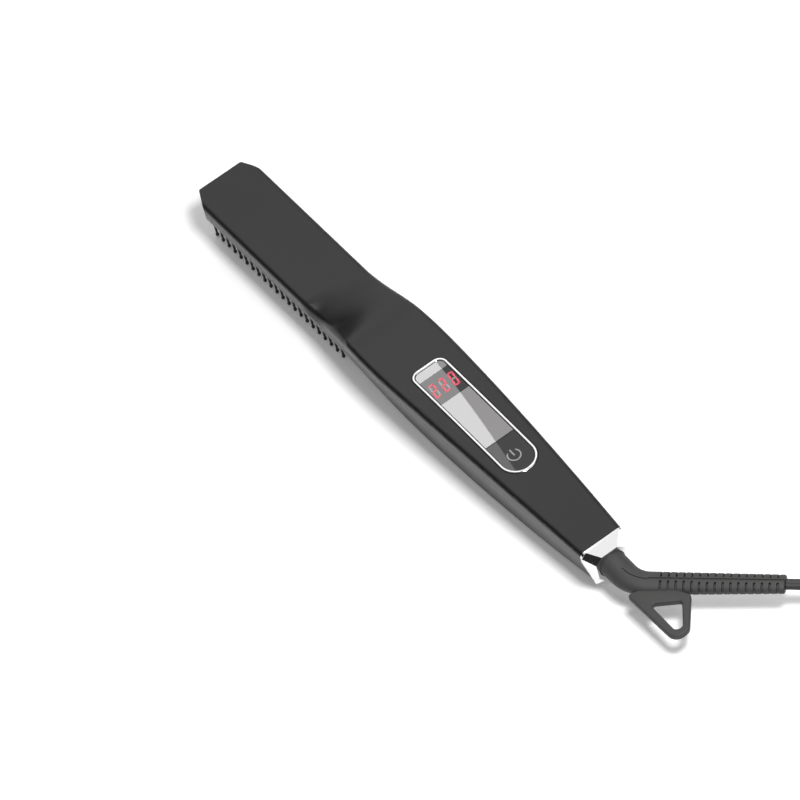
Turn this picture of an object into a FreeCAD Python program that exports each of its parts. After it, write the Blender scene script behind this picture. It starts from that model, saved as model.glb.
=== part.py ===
"""Heated hair straightening brush: housing, comb, heater, display, swivel tail, cord and plug.

Millimetres. +X runs from the head's tip to the tail, +Z is up with the display on top, and the
origin is under the middle of the body, on the plane that the bristle tips and the belly rest on.
Distances "from the tip" are measured along the body from the head's front edge.
"""
import FreeCAD, Part
import math
import os

os.makedirs("parts", exist_ok=True)

# ---------------------------------------------------------------- driving dimensions
BODY_LENGTH = 287.0          # head tip to the end of the tail ring
RING_LENGTH = 5.3            # chrome ring at the tail
RING_COLLAR = 1.2            # straight part of the ring before its cone
WALL = 2.0                   # housing wall
LID_DEPTH = 5.0              # seam below the display face
SEAM_GAP = 0.12              # shadow line between the two shells
TOP_EDGE_RADIUS = 2.4
LOW_EDGE_RADIUS = 3.2

NOSE_HALF_WIDTH = 11.4       # straight front edge of the head
NOSE_CHAMFER_LENGTH = 9.5    # how far back the corners are cut away
NOSE_CORNER_RADIUS = 5.0
HEAD_HALF_WIDTH = 16.0
GRIP_HALF_WIDTH = 18.4
TAIL_HALF_WIDTH = 11.0
HEAD_LAND = 14.7             # half width of the lower face under the head
GRIP_LAND = 12.4             # and under the grip
TAIL_LAND = 7.6
HEAD_TOP_Z = 26.0
GRIP_TOP_Z = 31.7
TAIL_TOP_Z = 26.2
RIM_Z = 13.5                 # open edge of the head, where the comb comes out
TAIL_BOTTOM_Z = 4.6
BELLY_Z = 0.2                # lowest line of the belly, level with the bristle tips

HEAD_STRAIGHT = 88.0         # the head is straight this far from the tip
SHOULDER_END = 130.0         # the display face has risen to the grip here
BELLY_START = 100.0          # the lower face starts down here
BELLY_END = 158.0            # and reaches the resting plane here
WIDTH_TAPER_START = 140.0    # the grip narrows from here to the tail
WIDTH_TAPER_POWER = 1.4
GRIP_TAPER_START = 160.0     # the display face falls from here to the tail
BELLY_RISE_START = 190.0     # the belly rises from here to the tail
STATION_STEPS = 10           # sections of the lofts between the head and the tail

# comb and heater
COMB_START = 4.0             # comb opening, from the tip
COMB_LENGTH = 100.0
COMB_HALF_WIDTH = 13.1
COMB_FIT = 0.2               # clearance of the comb in its opening
BED_DEPTH = 0.4              # bed face above the rim
BED_THICKNESS = 1.8
BRISTLE_PITCH = 4.58
BRISTLE_COUNT = 22           # in each outer column
BRISTLE_EDGE = 1.5              # outer columns this far inside the comb's edge
TOOTH_CORNERS = 5
BRISTLE_ROOT_RADIUS = 1.0
BRISTLE_NECK_RADIUS = 0.62
BRISTLE_BALL_RADIUS = 0.9
END_ROW_PITCH_SHARE = 0.264     # of the outer columns' distance from the axis
END_ROW_STEPS = 3            # bristles each side of the middle one
PIN_COUNT = 21               # in each inner column
PIN_Y_SHARE = 0.345
PIN_RADIUS = 0.7
PIN_BALL_RADIUS = 1.0
PIN_TIP_Z = 0.8
FIN_COUNT = 20
FIN_Y_SHARE = 0.69              # outer fin columns; the third is on the axis
FIN_WIDTH = 2.7
FIN_THICKNESS = 1.5
FIN_TIP_Z = 3.6
FIN_SLOT_CLEARANCE = 0.35
HEATER_THICKNESS = 2.2
PTC_LENGTH = 64.0
PTC_HALF_WIDTH = 7.0
PTC_THICKNESS = 2.4
SHIELD_THICKNESS = 0.8
SHIELD_MARGIN = 6.0             # from the inside of the nose
SHIELD_CLEARANCE = 1.7          # from the side walls
CLAMP_THICKNESS = 0.5

# release tab
TAB_START = 108.2
TAB_LENGTH = 11.6
TAB_HALF_WIDTH = 4.85
TAB_THICKNESS = 1.8
TAB_GAP = 0.3
RECESS_START = 106.6
RECESS_HALF_WIDTH = 7.2
RECESS_END_HALF_WIDTH = 5.15

# display and button
FRAME_START = 156.0
FRAME_LENGTH = 76.0
FRAME_HALF_WIDTH = 9.0
FRAME_CORNER_RADIUS = 4.5
FRAME_BORDER = 1.3
FRAME_PROUD = 0.5
FRAME_DEPTH = 2.8
WINDOW_THICKNESS = 1.5
WINDOW_RECESS = 0.1
BUTTON_LENGTH = 19.7
BUTTON_GAP = 0.3
BUTTON_THICKNESS = 1.7
BUTTON_TRAVEL = 0.5
STEM_RADIUS = 1.6
PLUNGER_RADIUS = 1.7
PLUNGER_HEIGHT = 1.1
SWITCH_SIDE = 6.0
SWITCH_HEIGHT = 2.2

# circuit board
PCB_MARGIN_HEAD = 7.0           # board beyond the display frame, towards the head
PCB_MARGIN_TAIL = 9.0
PCB_HALF_WIDTH = 10.4
PCB_THICKNESS = 1.6
PCB_TOP_Z = 24.0
POST_RADIUS = 2.3
POST_EDGE = 3.2              # post centre from the board's edges
PCB_SCREW_RADIUS = 1.1
PCB_SCREW_LENGTH = 4.0
PCB_SCREW_HEAD_RADIUS = 2.1
PCB_SCREW_HEAD_HEIGHT = 1.3
MODULE_MARGIN = 13.0            # shorter than the frame by this at each end
MODULE_HALF_WIDTH = 6.8
MODULE_HEIGHT = 4.2

TRIAC_AT = 19.0                 # from the board's edge towards the head
CAPACITOR_AT = 44.0
LEAD_RADIUS = 0.8
HEATER_LEAD_Y = 4.0
SUPPLY_LEAD_Y = 5.4
SUPPLY_LEAD_RISE = 2.0          # above the swivel's axis, at the contact plate
LEAD_STRAIGHT = 3.5             # level stretch at each end of a supply lead
LEAD_DROP = 0.2                 # of a heater lead below the top of the heating element

# housing screws and their plugs
FRONT_SCREW_AT = 127.0
FRONT_SCREW_Y = 10.4
REAR_SCREW_MARGIN = 4.0         # behind the board
PLUG_RADIUS = 2.4
PLUG_THICKNESS = 1.2
SCREW_HEAD_HEIGHT = 1.6
SCREW_RADIUS = 1.2
SCREW_HOLE_CLEARANCE = 0.15
SCREW_LENGTH = 12.0
BOSS_RADIUS = 3.7
BOSS_FLOOR = 1.4             # plastic under each screw head

# swivel, strain relief and hanging loop
AXIS_Z = (TAIL_TOP_Z + TAIL_BOTTOM_Z) / 2
SWIVEL_FIT = 0.05            # running fit of the spool in its bush
MOVING_GAP = 0.3
SPOOL_RADIUS = 4.0
SPOOL_FLANGE_RADIUS = 6.8
SPOOL_FLANGE_THICKNESS = 2.2
BUSH_LENGTH = 9.0
BUSH_RADIUS = 8.3
CAGE_LENGTH = 7.5
CONTACT_PLATE_THICKNESS = 1.6
RING_SPIGOT_RADIUS = 7.6
RING_END_HALF = 7.6
NECK_WIDTH = 12.6            # nearly round where it turns in the ring
NECK_HEIGHT = 12.3
NECK_GAP = 0.35
NECK_LENGTH = 14.7           # straight part of the neck behind the ring
ELBOW_ANGLE = 45.3
ELBOW_REACH = 6.5            # length of the bend each side of the elbow's corner
ELBOW_HEIGHT = 9.4           # the neck flattens to this height where it starts to bend
ELBOW_STEPS = 4
SLEEVE_LENGTH = 65.2         # elbow to the end of the ribbed sleeve
SLEEVE_START_WIDTH = 11.4    # the sleeve is a flattened oval round the flat cord
SLEEVE_START_HEIGHT = 7.2
SLEEVE_END_WIDTH = 9.3
SLEEVE_END_HEIGHT = 5.6
SLEEVE_END_BEVEL = 0.8
RIB_START = 12.3             # first groove after the elbow
RIB_PITCH = 3.33
RIB_COUNT = 16
RIB_GROOVE = 0.9
RIB_DEPTH = 0.9
SPINE_HALF_WIDTH = 1.3
LOOP_THICKNESS = 3.0
# corners in plan, from the middle of the ring's end, and their radii
LOOP_OUTLINE = [(18.6, -6.3), (52.3, -6.0), (51.8, 2.1), (37.5, 13.8), (29.5, 10.1), (20.6, 1.0)]
LOOP_RADII = [1.5, 2.6, 2.6, 2.0, 0.5, 0.5]
LOOP_HOLE = [(29.4, -2.0), (48.5, -2.5), (48.3, 1.2), (37.6, 8.8)]
LOOP_HOLE_RADII = [1.0, 1.0, 1.0, 1.2]

# cord and plug
CORD_WIDTH = 5.1
CORD_THICKNESS = 3.2
COIL_MID_RADIUS = 26.4
COIL_COLUMNS = 3
COIL_LAYERS = 4
TIE_THICKNESS = 0.8
TIE_WIDTH = 6.0
TIE_ANGLE = 250.0            # place of the tie round the coil
PLUG_BODY_LENGTH = 25.0
PLUG_BODY_WIDTH = 22.0
PLUG_BODY_HEIGHT = 13.0
BLADE_SPACING = 12.7
BLADE_HEIGHT = 6.35
BLADE_THICKNESS = 1.5
BLADE_LENGTH = 17.0

# ---------------------------------------------------------------- places worked out from them
TIP_X = -BODY_LENGTH / 2
HOUSING_LENGTH = BODY_LENGTH - RING_LENGTH
FRAME_END = FRAME_START + FRAME_LENGTH
MODULE_LENGTH = FRAME_LENGTH - 2 * MODULE_MARGIN
PCB_START = FRAME_START - PCB_MARGIN_HEAD
PCB_END = FRAME_END + PCB_MARGIN_TAIL
REAR_SCREW_AT = PCB_END + REAR_SCREW_MARGIN
BRISTLE_Y = COMB_HALF_WIDTH - BRISTLE_EDGE
END_ROW_PITCH = BRISTLE_Y * END_ROW_PITCH_SHARE
PIN_Y = BRISTLE_Y * PIN_Y_SHARE
FIN_Y = BRISTLE_Y * FIN_Y_SHARE
BED_Z = RIM_Z + BED_DEPTH
BED_TOP_Z = BED_Z + BED_THICKNESS
HEATER_TOP_Z = BED_TOP_Z + HEATER_THICKNESS
PCB_BOTTOM_Z = PCB_TOP_Z - PCB_THICKNESS


def vector(x, y, z):
    return FreeCAD.Vector(x, y, z)


def from_tip(distance):
    return TIP_X + distance


def export(name, shape):
    shape.exportStep(f"parts/{name}.step")
    print(f"{name}: {len(shape.Solids)} solid(s), {shape.Volume:.1f} mm3, valid {shape.isValid()}")


def box(x0, x1, y0, y1, z0, z1):
    return Part.makeBox(x1 - x0, y1 - y0, z1 - z0, vector(x0, y0, z0))


def post(radius, x, y, z0, z1):
    return Part.makeCylinder(radius, z1 - z0, vector(x, y, z0))


def six_sided(radius, x, y, z0, z1):
    return Part.Face(corner_ring(radius, x, y, z0, 6)).extrude(vector(0, 0, z1 - z0))


def axial(radius, x0, x1, y=0.0, z=AXIS_Z):
    """Cylinder along the body's axis."""
    return Part.makeCylinder(radius, x1 - x0, vector(x0, y, z), vector(1, 0, 0))


def prism(outline, z0, z1):
    """Upright prism on a closed wire drawn at z = 0."""
    face = Part.Face(outline)
    face.translate(vector(0, 0, z0))
    return face.extrude(vector(0, 0, z1 - z0))


def polygon(points):
    return Part.makePolygon([vector(*p) for p in points] + [vector(*points[0])])


def rounded_polygon(points, radii):
    """Closed wire in the XY plane with each corner rounded to its own radius."""
    edges, last = [], None
    first = None
    count = len(points)
    for i, (point, radius) in enumerate(zip(points, radii)):
        corner = vector(*point, 0)
        back = (vector(*points[i - 1], 0) - corner).normalize()
        ahead = (vector(*points[(i + 1) % count], 0) - corner).normalize()
        half = back.getAngle(ahead) / 2
        reach = radius / math.tan(half)
        start, end = corner + back * reach, corner + ahead * reach
        bisector = (back + ahead).normalize()
        middle = corner + bisector * (radius / math.sin(half) - radius)
        if last is not None:
            edges.append(Part.LineSegment(last, start).toShape())
        else:
            first = start
        edges.append(Part.Arc(start, middle, end).toShape())
        last = end
    edges.append(Part.LineSegment(last, first).toShape())
    return Part.Wire(edges)


# ---------------------------------------------------------------- housing form
def ease(distance, start, end, low, high):
    """Smooth step from one value to another along the body."""
    t = min(max((distance - start) / (end - start), 0.0), 1.0)
    return low + (high - low) * t * t * (3 - 2 * t)


def taper(distance, start, drop, power=1.75):
    """How far a line has curved away between its start and the tail."""
    t = max((distance - start) / (HOUSING_LENGTH - start), 0.0)
    return drop * t ** power


def half_width(distance):
    width = ease(distance, HEAD_STRAIGHT, SHOULDER_END + 10, HEAD_HALF_WIDTH, GRIP_HALF_WIDTH)
    return width - taper(distance, WIDTH_TAPER_START, GRIP_HALF_WIDTH - TAIL_HALF_WIDTH, WIDTH_TAPER_POWER)


def land_half_width(distance):
    width = ease(distance, BELLY_START, BELLY_END, HEAD_LAND, GRIP_LAND)
    return width - taper(distance, GRIP_TAPER_START, GRIP_LAND - TAIL_LAND)


def top_z(distance):
    height = ease(distance, HEAD_STRAIGHT, SHOULDER_END, HEAD_TOP_Z, GRIP_TOP_Z)
    return height - taper(distance, GRIP_TAPER_START, GRIP_TOP_Z - TAIL_TOP_Z)


def bottom_z(distance):
    height = ease(distance, BELLY_START, BELLY_END, RIM_Z, BELLY_Z)
    return height + taper(distance, BELLY_RISE_START, TAIL_BOTTOM_Z - BELLY_Z)


def seam_z(distance):
    return top_z(distance) - LID_DEPTH


def plain_section(distance, inset, at=None):
    """The same outline with its corners left sharp, for the cavity."""
    x = from_tip(distance if at is None else at)
    half, land = half_width(distance) - inset, land_half_width(distance) - inset
    top, bottom, seam = top_z(distance) - inset, bottom_z(distance) + inset, seam_z(distance)
    bevel = (TOP_EDGE_RADIUS + LOW_EDGE_RADIUS) / 4
    side = [(half - bevel, top), (half, top - bevel), (half, seam), (land, bottom + bevel), (land - bevel, bottom)]
    points = [(x, y, z) for y, z in side] + [(x, -y, z) for y, z in reversed(side)]
    return polygon(points)


def section(distance, inset=0.0, at=None):
    """Outline across the housing: flat top, upright lid band, leaning side and flat land."""
    x = from_tip(distance if at is None else at)
    half, land = half_width(distance) - inset, land_half_width(distance) - inset
    top, bottom, seam = top_z(distance) - inset, bottom_z(distance) + inset, seam_z(distance)
    top_r = max(TOP_EDGE_RADIUS - inset, 0.5)
    low_r = max(LOW_EDGE_RADIUS - inset, 0.8)
    low_corner = vector(x, land, bottom)
    side = (vector(x, half, seam) - low_corner).normalize()
    inward = vector(0, -1, 0)
    half_turn = side.getAngle(inward) / 2
    reach = low_r / math.tan(half_turn)
    low_middle = low_corner + (side + inward).normalize() * (low_r / math.sin(half_turn) - low_r)
    bend = top_r * (1 - math.sqrt(0.5))
    points = [
        vector(x, half - top_r, top),
        vector(x, half - bend, top - bend),
        vector(x, half, top - top_r),
        vector(x, half, seam),
        low_corner + side * reach,
        low_middle,
        low_corner + inward * reach,
    ]
    mirrored = [vector(p.x, -p.y, p.z) for p in points]
    a, a_mid, b, c, d, d_mid, e = points
    ma, ma_mid, mb, mc, md, md_mid, me = mirrored
    return Part.Wire([
        Part.LineSegment(ma, a).toShape(),
        Part.Arc(a, a_mid, b).toShape(),
        Part.LineSegment(b, c).toShape(),
        Part.LineSegment(c, d).toShape(),
        Part.Arc(d, d_mid, e).toShape(),
        Part.LineSegment(e, me).toShape(),
        Part.Arc(me, md_mid, md).toShape(),
        Part.LineSegment(md, mc).toShape(),
        Part.LineSegment(mc, mb).toShape(),
        Part.Arc(mb, ma_mid, ma).toShape(),
    ])


def stations(end):
    """Evenly spaced places of the lofted sections, from the straight head to the tail."""
    return [HEAD_STRAIGHT + (end - HEAD_STRAIGHT) * i / STATION_STEPS for i in range(STATION_STEPS + 1)]


def housing_solid(inset=0.0, start=0.0, end=HOUSING_LENGTH):
    """The housing's form, moved inwards by inset, between two distances from the tip."""
    head = Part.makeLoft([section(0.0, inset, at=start), section(HEAD_STRAIGHT, inset)], True, True)
    grip = Part.makeLoft([section(s, inset) for s in stations(end)], True, False)
    return head.fuse(grip)


def cavity_solid():
    """The room inside the housing."""
    end = HOUSING_LENGTH - WALL
    head = Part.makeLoft([plain_section(0.0, WALL, at=WALL), plain_section(HEAD_STRAIGHT, WALL)], True, True)
    grip = Part.makeLoft([plain_section(s, WALL) for s in stations(end)], True, False)
    return head.fuse(grip).common(prism(nose_outline(WALL), -5, GRIP_TOP_Z + 5))


def skin(depth_out, depth_in):
    """The layer of the form between two depths, for pieces that follow its surface."""
    return housing_solid(depth_out).cut(housing_solid(depth_in, start=depth_in))


def nose_outline(inset=0.0):
    """Plan of the whole body with the head's cut corners."""
    wide = GRIP_HALF_WIDTH + 10
    x0, x1, x2 = from_tip(inset), from_tip(NOSE_CHAMFER_LENGTH), from_tip(BODY_LENGTH)
    head = HEAD_HALF_WIDTH - inset
    nose = NOSE_HALF_WIDTH - inset * 0.6
    x_wide = from_tip(HEAD_STRAIGHT)
    points = [(x0, -nose), (x1, -head), (x_wide, -head), (x_wide, -wide), (x2, -wide),
              (x2, wide), (x_wide, wide), (x_wide, head), (x1, head), (x0, nose)]
    corner = max(NOSE_CORNER_RADIUS - inset, 1.0)
    radii = [1.2, corner, 0.01, 0.01, 0.01, 0.01, 0.01, 0.01, corner, 1.2]
    return rounded_polygon(points, radii)


def above_seam(offset):
    """Everything above the seam surface, moved up by offset."""
    ease_ends = [0.0, HEAD_STRAIGHT * 0.5] + stations(HOUSING_LENGTH + 2)
    line = [vector(from_tip(s), -40, seam_z(s) + offset) for s in ease_ends]
    line[0].x -= 5
    curve = Part.BSplineCurve()
    curve.interpolate(line)
    high = GRIP_TOP_Z + 20
    first, last = line[0], line[-1]
    corner_a, corner_b = vector(last.x, -40, high), vector(first.x, -40, high)
    wire = Part.Wire([
        curve.toShape(),
        Part.LineSegment(last, corner_a).toShape(),
        Part.LineSegment(corner_a, corner_b).toShape(),
        Part.LineSegment(corner_b, first).toShape(),
    ])
    return Part.Face(wire).extrude(vector(0, 80, 0))


def comb_opening(clearance, z0, z1):
    x0 = from_tip(COMB_START + clearance)
    x1 = from_tip(COMB_START + COMB_LENGTH - clearance)
    half = COMB_HALF_WIDTH - clearance
    points = [(x0, -half), (x1, -half), (x1, half), (x0, half)]
    return prism(rounded_polygon(points, [4.0, 2.0, 2.0, 4.0]), z0, z1)


def frame_outline(inset):
    """Display frame in plan: round corners towards the head, a half circle towards the tail."""
    half = FRAME_HALF_WIDTH - inset
    x0 = from_tip(FRAME_START + inset)
    x1 = from_tip(FRAME_END) - FRAME_HALF_WIDTH
    r = FRAME_CORNER_RADIUS - inset
    k = r * (1 - math.sqrt(0.5))
    return Part.Wire([
        Part.LineSegment(vector(x1, -half, 0), vector(x0 + r, -half, 0)).toShape(),
        Part.Arc(vector(x0 + r, -half, 0), vector(x0 + k, -half + k, 0), vector(x0, -half + r, 0)).toShape(),
        Part.LineSegment(vector(x0, -half + r, 0), vector(x0, half - r, 0)).toShape(),
        Part.Arc(vector(x0, half - r, 0), vector(x0 + k, half - k, 0), vector(x0 + r, half, 0)).toShape(),
        Part.LineSegment(vector(x0 + r, half, 0), vector(x1, half, 0)).toShape(),
        Part.Arc(vector(x1, half, 0), vector(x1 + half, 0, 0), vector(x1, -half, 0)).toShape(),
    ])


def recess_prism():
    """Plan of the D-shaped recess round the release tab."""
    x0, x1 = from_tip(RECESS_START), from_tip(TAB_START + TAB_LENGTH + TAB_GAP)
    wide, narrow = RECESS_HALF_WIDTH, RECESS_END_HALF_WIDTH
    bulge = from_tip(RECESS_START + (x1 - x0) * 0.55)
    return prism(Part.Wire([
        Part.LineSegment(vector(x0, -wide + 0.6, 0), vector(x0, wide - 0.6, 0)).toShape(),
        Part.Arc(vector(x0, wide - 0.6, 0), vector(bulge, wide - 0.5, 0), vector(x1, narrow, 0)).toShape(),
        Part.LineSegment(vector(x1, narrow, 0), vector(x1, -narrow, 0)).toShape(),
        Part.Arc(vector(x1, -narrow, 0), vector(bulge, -wide + 0.5, 0), vector(x0, -wide + 0.6, 0)).toShape(),
    ]), -1, GRIP_TOP_Z / 2)


SCREW_PLACES = [
    (FRONT_SCREW_AT, FRONT_SCREW_Y),
    (FRONT_SCREW_AT, -FRONT_SCREW_Y),
    (REAR_SCREW_AT, 0.0),
]
POST_PLACES = [
    (x, y)
    for x in (PCB_START + POST_EDGE, PCB_END - POST_EDGE)
    for y in (PCB_HALF_WIDTH - POST_EDGE, POST_EDGE - PCB_HALF_WIDTH)
]


def screw_seat_z(place):
    """Underside of a screw head, above its plug."""
    return bottom_z(place[0]) + PLUG_THICKNESS + SCREW_HEAD_HEIGHT


def boss_joint_z(place):
    """Where the bosses of the two shells meet."""
    return screw_seat_z(place) + BOSS_FLOOR


# ---------------------------------------------------------------- shells
nose = prism(nose_outline(), -5, GRIP_TOP_Z + 5)
form = housing_solid().common(nose)
TAIL_X = from_tip(HOUSING_LENGTH)
BUSH_END_X = TAIL_X - WALL
BUSH_START_X = BUSH_END_X - BUSH_LENGTH
CAGE_START_X = BUSH_START_X - CAGE_LENGTH
cavity = cavity_solid()
walls = form.cut([
    cavity,
    axial(RING_SPIGOT_RADIUS, BUSH_END_X - 1, TAIL_X + 1),
    axial(BUSH_RADIUS, CAGE_START_X, BUSH_END_X),
])


def back_shell():
    """Shallow lid that carries the display and the board."""
    shell = walls.common(above_seam(SEAM_GAP / 2))
    posts = [post(POST_RADIUS, from_tip(x), y, PCB_TOP_Z, GRIP_TOP_Z) for x, y in POST_PLACES]
    bosses = [post(BOSS_RADIUS, from_tip(p[0]), p[1], boss_joint_z(p), GRIP_TOP_Z) for p in SCREW_PLACES]
    shell = shell.fuse([b.common(cavity) for b in posts + bosses])
    shell = shell.cut(prism(frame_outline(0.0), PCB_TOP_Z, GRIP_TOP_Z + 5))
    holes = [post(SCREW_RADIUS, from_tip(p[0]), p[1], boss_joint_z(p) - 1,
                  screw_seat_z(p) + SCREW_LENGTH + 1) for p in SCREW_PLACES]
    holes += [post(PCB_SCREW_RADIUS, from_tip(x), y, PCB_TOP_Z - 1, PCB_TOP_Z + PCB_SCREW_LENGTH)
              for x, y in POST_PLACES]
    return shell.cut(holes)


def front_shell():
    """Deep tub with the comb opening, the tab recess, the screw bosses and the bush seats."""
    shell = walls.cut(above_seam(-SEAM_GAP / 2))
    bosses = [post(BOSS_RADIUS, from_tip(p[0]), p[1], bottom_z(p[0]) - 1, boss_joint_z(p))
              for p in SCREW_PLACES]
    shell = shell.fuse([b.common(form) for b in bosses])
    saddle = box(BUSH_START_X, BUSH_START_X + 3, -BUSH_RADIUS, BUSH_RADIUS, 0, AXIS_Z)
    saddle = saddle.common(form).cut(axial(BUSH_RADIUS, CAGE_START_X, BUSH_END_X))
    shell = shell.fuse(saddle)
    cuts = [comb_opening(0.0, -1, HEATER_TOP_Z + 2), recess_prism()]
    for p in SCREW_PLACES:
        x = from_tip(p[0])
        cuts.append(post(PLUG_RADIUS, x, p[1], -1, screw_seat_z(p)))
        cuts.append(post(SCREW_RADIUS + SCREW_HOLE_CLEARANCE, x, p[1], -1, boss_joint_z(p) + 1))
    return shell.cut(cuts)


# ---------------------------------------------------------------- comb
def corner_ring(radius, x, y, z, corners=TOOTH_CORNERS):
    step = math.tau / corners
    return polygon([
        (x + radius * math.cos(step * i), y + radius * math.sin(step * i), z) for i in range(corners)
    ])


def bristle(x, y, root_z, tip_z, root_radius, neck_radius, ball_radius):
    """Slender tooth that hangs from its root and ends in a ball."""
    ball_top = tip_z + 2 * ball_radius
    rings = [
        corner_ring(root_radius, x, y, root_z),
        corner_ring(neck_radius, x, y, ball_top),
        corner_ring(ball_radius, x, y, tip_z + ball_radius),
        corner_ring(ball_radius * 0.5, x, y, tip_z),
    ]
    return Part.makeLoft(rings, True, True)


def column_x(index, count):
    middle = COMB_START + COMB_LENGTH / 2
    return from_tip(middle + (index - (count - 1) / 2) * BRISTLE_PITCH)


def comb_frame():
    """Guard comb: the bed, its long slots, the outer bristles and the tongue at each end."""
    bed = comb_opening(COMB_FIT, BED_Z, BED_TOP_Z)
    wall = comb_opening(COMB_FIT, BED_TOP_Z, HEATER_TOP_Z).cut(
        comb_opening(COMB_FIT + 1.2, BED_TOP_Z, HEATER_TOP_Z))
    bed = bed.fuse(wall)
    slot_half = FIN_WIDTH / 2 + FIN_SLOT_CLEARANCE
    slot_x0 = column_x(0, FIN_COUNT) - FIN_THICKNESS
    slot_x1 = column_x(FIN_COUNT - 1, FIN_COUNT) + FIN_THICKNESS
    slots = [box(slot_x0, slot_x1, y - slot_half, y + slot_half, BED_Z - 1, BED_TOP_Z)
             for y in (-FIN_Y, 0.0, FIN_Y)]
    bed = bed.cut(slots)
    places = [(column_x(i, BRISTLE_COUNT), side * BRISTLE_Y) for i in range(BRISTLE_COUNT) for side in (-1, 1)]
    for end in (0, BRISTLE_COUNT - 1):
        for step in range(-END_ROW_STEPS, END_ROW_STEPS + 1):
            if end == 0 and step == 0:
                continue
            places.append((column_x(end, BRISTLE_COUNT), step * END_ROW_PITCH))
    teeth = [bristle(x, y, BED_Z + 0.5, 0.0, BRISTLE_ROOT_RADIUS, BRISTLE_NECK_RADIUS, BRISTLE_BALL_RADIUS)
             for x, y in places]
    return bed.fuse(teeth)


def ball_pins():
    """Slim pins with bright ball tips, pressed into the bed between the fin slots."""
    pins = [bristle(column_x(i, PIN_COUNT), side * PIN_Y, BED_Z, PIN_TIP_Z, PIN_RADIUS, PIN_RADIUS * 0.85,
                    PIN_BALL_RADIUS) for i in range(PIN_COUNT) for side in (-1, 1)]
    return Part.makeCompound(pins)


def fin(x, y):
    """Arched heating tooth, its tip cut to three flats."""
    half, x0, root = FIN_WIDTH / 2, x - FIN_THICKNESS / 2, BED_TOP_Z + 0.5
    shoulder, crown = FIN_TIP_Z + half * 0.8, half * 0.5
    outline = [(-half, root), (-half, shoulder), (-crown, FIN_TIP_Z), (crown, FIN_TIP_Z), (half, shoulder),
               (half, root)]
    return Part.Face(polygon([(x0, y + a, z) for a, z in outline])).extrude(vector(FIN_THICKNESS, 0, 0))


def heater_comb():
    """Cast plate with three columns of heated fins that reach through the guard comb."""
    plate = comb_opening(COMB_FIT + 1.4, BED_TOP_Z, HEATER_TOP_Z)
    fins = [fin(column_x(i, FIN_COUNT), y) for i in range(FIN_COUNT) for y in (-FIN_Y, 0.0, FIN_Y)]
    return plate.fuse(fins)


HEATER_MIDDLE = from_tip(COMB_START + COMB_LENGTH / 2)
PTC_TOP_Z = HEATER_TOP_Z + PTC_THICKNESS
SHIELD_Z = HEAD_TOP_Z - WALL - SHIELD_THICKNESS
SHIELD_HALF_WIDTH = HEAD_HALF_WIDTH - WALL - SHIELD_CLEARANCE


def heater_clamp():
    """Bent spring strip between the heating element and the heat shield."""
    half = PTC_LENGTH / 2 - 4
    y = PTC_HALF_WIDTH - 1.5
    flat = PTC_TOP_Z + CLAMP_THICKNESS
    strip = box(HEATER_MIDDLE - half, HEATER_MIDDLE + half, -y, y, PTC_TOP_Z, flat)
    legs = []
    for side in (-1, 1):
        x = HEATER_MIDDLE + side * half
        leg = polygon([
            (x, -y, PTC_TOP_Z), (x, -y, flat), (x + side * 5, -y, SHIELD_Z),
            (x + side * 9, -y, SHIELD_Z), (x + side * 9, -y, SHIELD_Z - CLAMP_THICKNESS),
            (x + side * 5.3, -y, SHIELD_Z - CLAMP_THICKNESS),
        ])
        legs.append(Part.Face(leg).extrude(vector(0, 2 * y, 0)))
    return strip.fuse(legs)


# ---------------------------------------------------------------- release tab
TAB_ROOT_X = from_tip(TAB_START + TAB_LENGTH)
TAB_ROOT_Z = bottom_z(TAB_START + TAB_LENGTH) + TAB_THICKNESS / 2


def comb_release_tab():
    """Press tab level with the housing, hinged at its tail end."""
    plan = box(from_tip(TAB_START), TAB_ROOT_X - TAB_THICKNESS / 2, -TAB_HALF_WIDTH, TAB_HALF_WIDTH, 0, 20)
    plate = housing_solid().common(plan).cut(housing_solid(TAB_THICKNESS, start=TAB_THICKNESS))
    knuckle = Part.makeCylinder(TAB_THICKNESS / 2, 2 * TAB_HALF_WIDTH,
                                vector(TAB_ROOT_X - TAB_THICKNESS / 2, -TAB_HALF_WIDTH, TAB_ROOT_Z),
                                vector(0, 1, 0))
    return plate.fuse(knuckle)


# ---------------------------------------------------------------- display, button and board
BUTTON_END = FRAME_END - FRAME_BORDER - BUTTON_GAP
BUTTON_START = BUTTON_END - BUTTON_LENGTH
BUTTON_MIDDLE = from_tip(BUTTON_START + BUTTON_LENGTH / 2)
SWITCH_TOP_Z = PCB_TOP_Z + SWITCH_HEIGHT


def display_frame():
    """Polished bezel that follows the curve of the grip."""
    layer = skin(-FRAME_PROUD, FRAME_DEPTH)
    ring = prism(frame_outline(0.0), 15, GRIP_TOP_Z + 5).cut(
        prism(frame_outline(FRAME_BORDER), 15, GRIP_TOP_Z + 5))
    return layer.common(ring)


def display_window():
    layer = skin(WINDOW_RECESS, WINDOW_RECESS + WINDOW_THICKNESS)
    plan = prism(frame_outline(FRAME_BORDER), 15, GRIP_TOP_Z + 5)
    end = box(from_tip(BUTTON_START - BUTTON_GAP), from_tip(FRAME_END), -20, 20, 0, 50)
    return layer.common(plan).cut(end)


def power_button():
    """Glossy half-round cap with the stem that presses the switch."""
    layer = skin(WINDOW_RECESS, WINDOW_RECESS + BUTTON_THICKNESS)
    plan = prism(frame_outline(FRAME_BORDER + BUTTON_GAP), 15, GRIP_TOP_Z + 5)
    keep = box(from_tip(BUTTON_START), from_tip(BUTTON_END + 1), -20, 20, 15, 50)
    cap = layer.common(plan).common(keep)
    stem = post(STEM_RADIUS, BUTTON_MIDDLE, 0, SWITCH_TOP_Z + PLUNGER_HEIGHT, top_z(BUTTON_END) - 1)
    return cap.fuse(stem)


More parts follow.
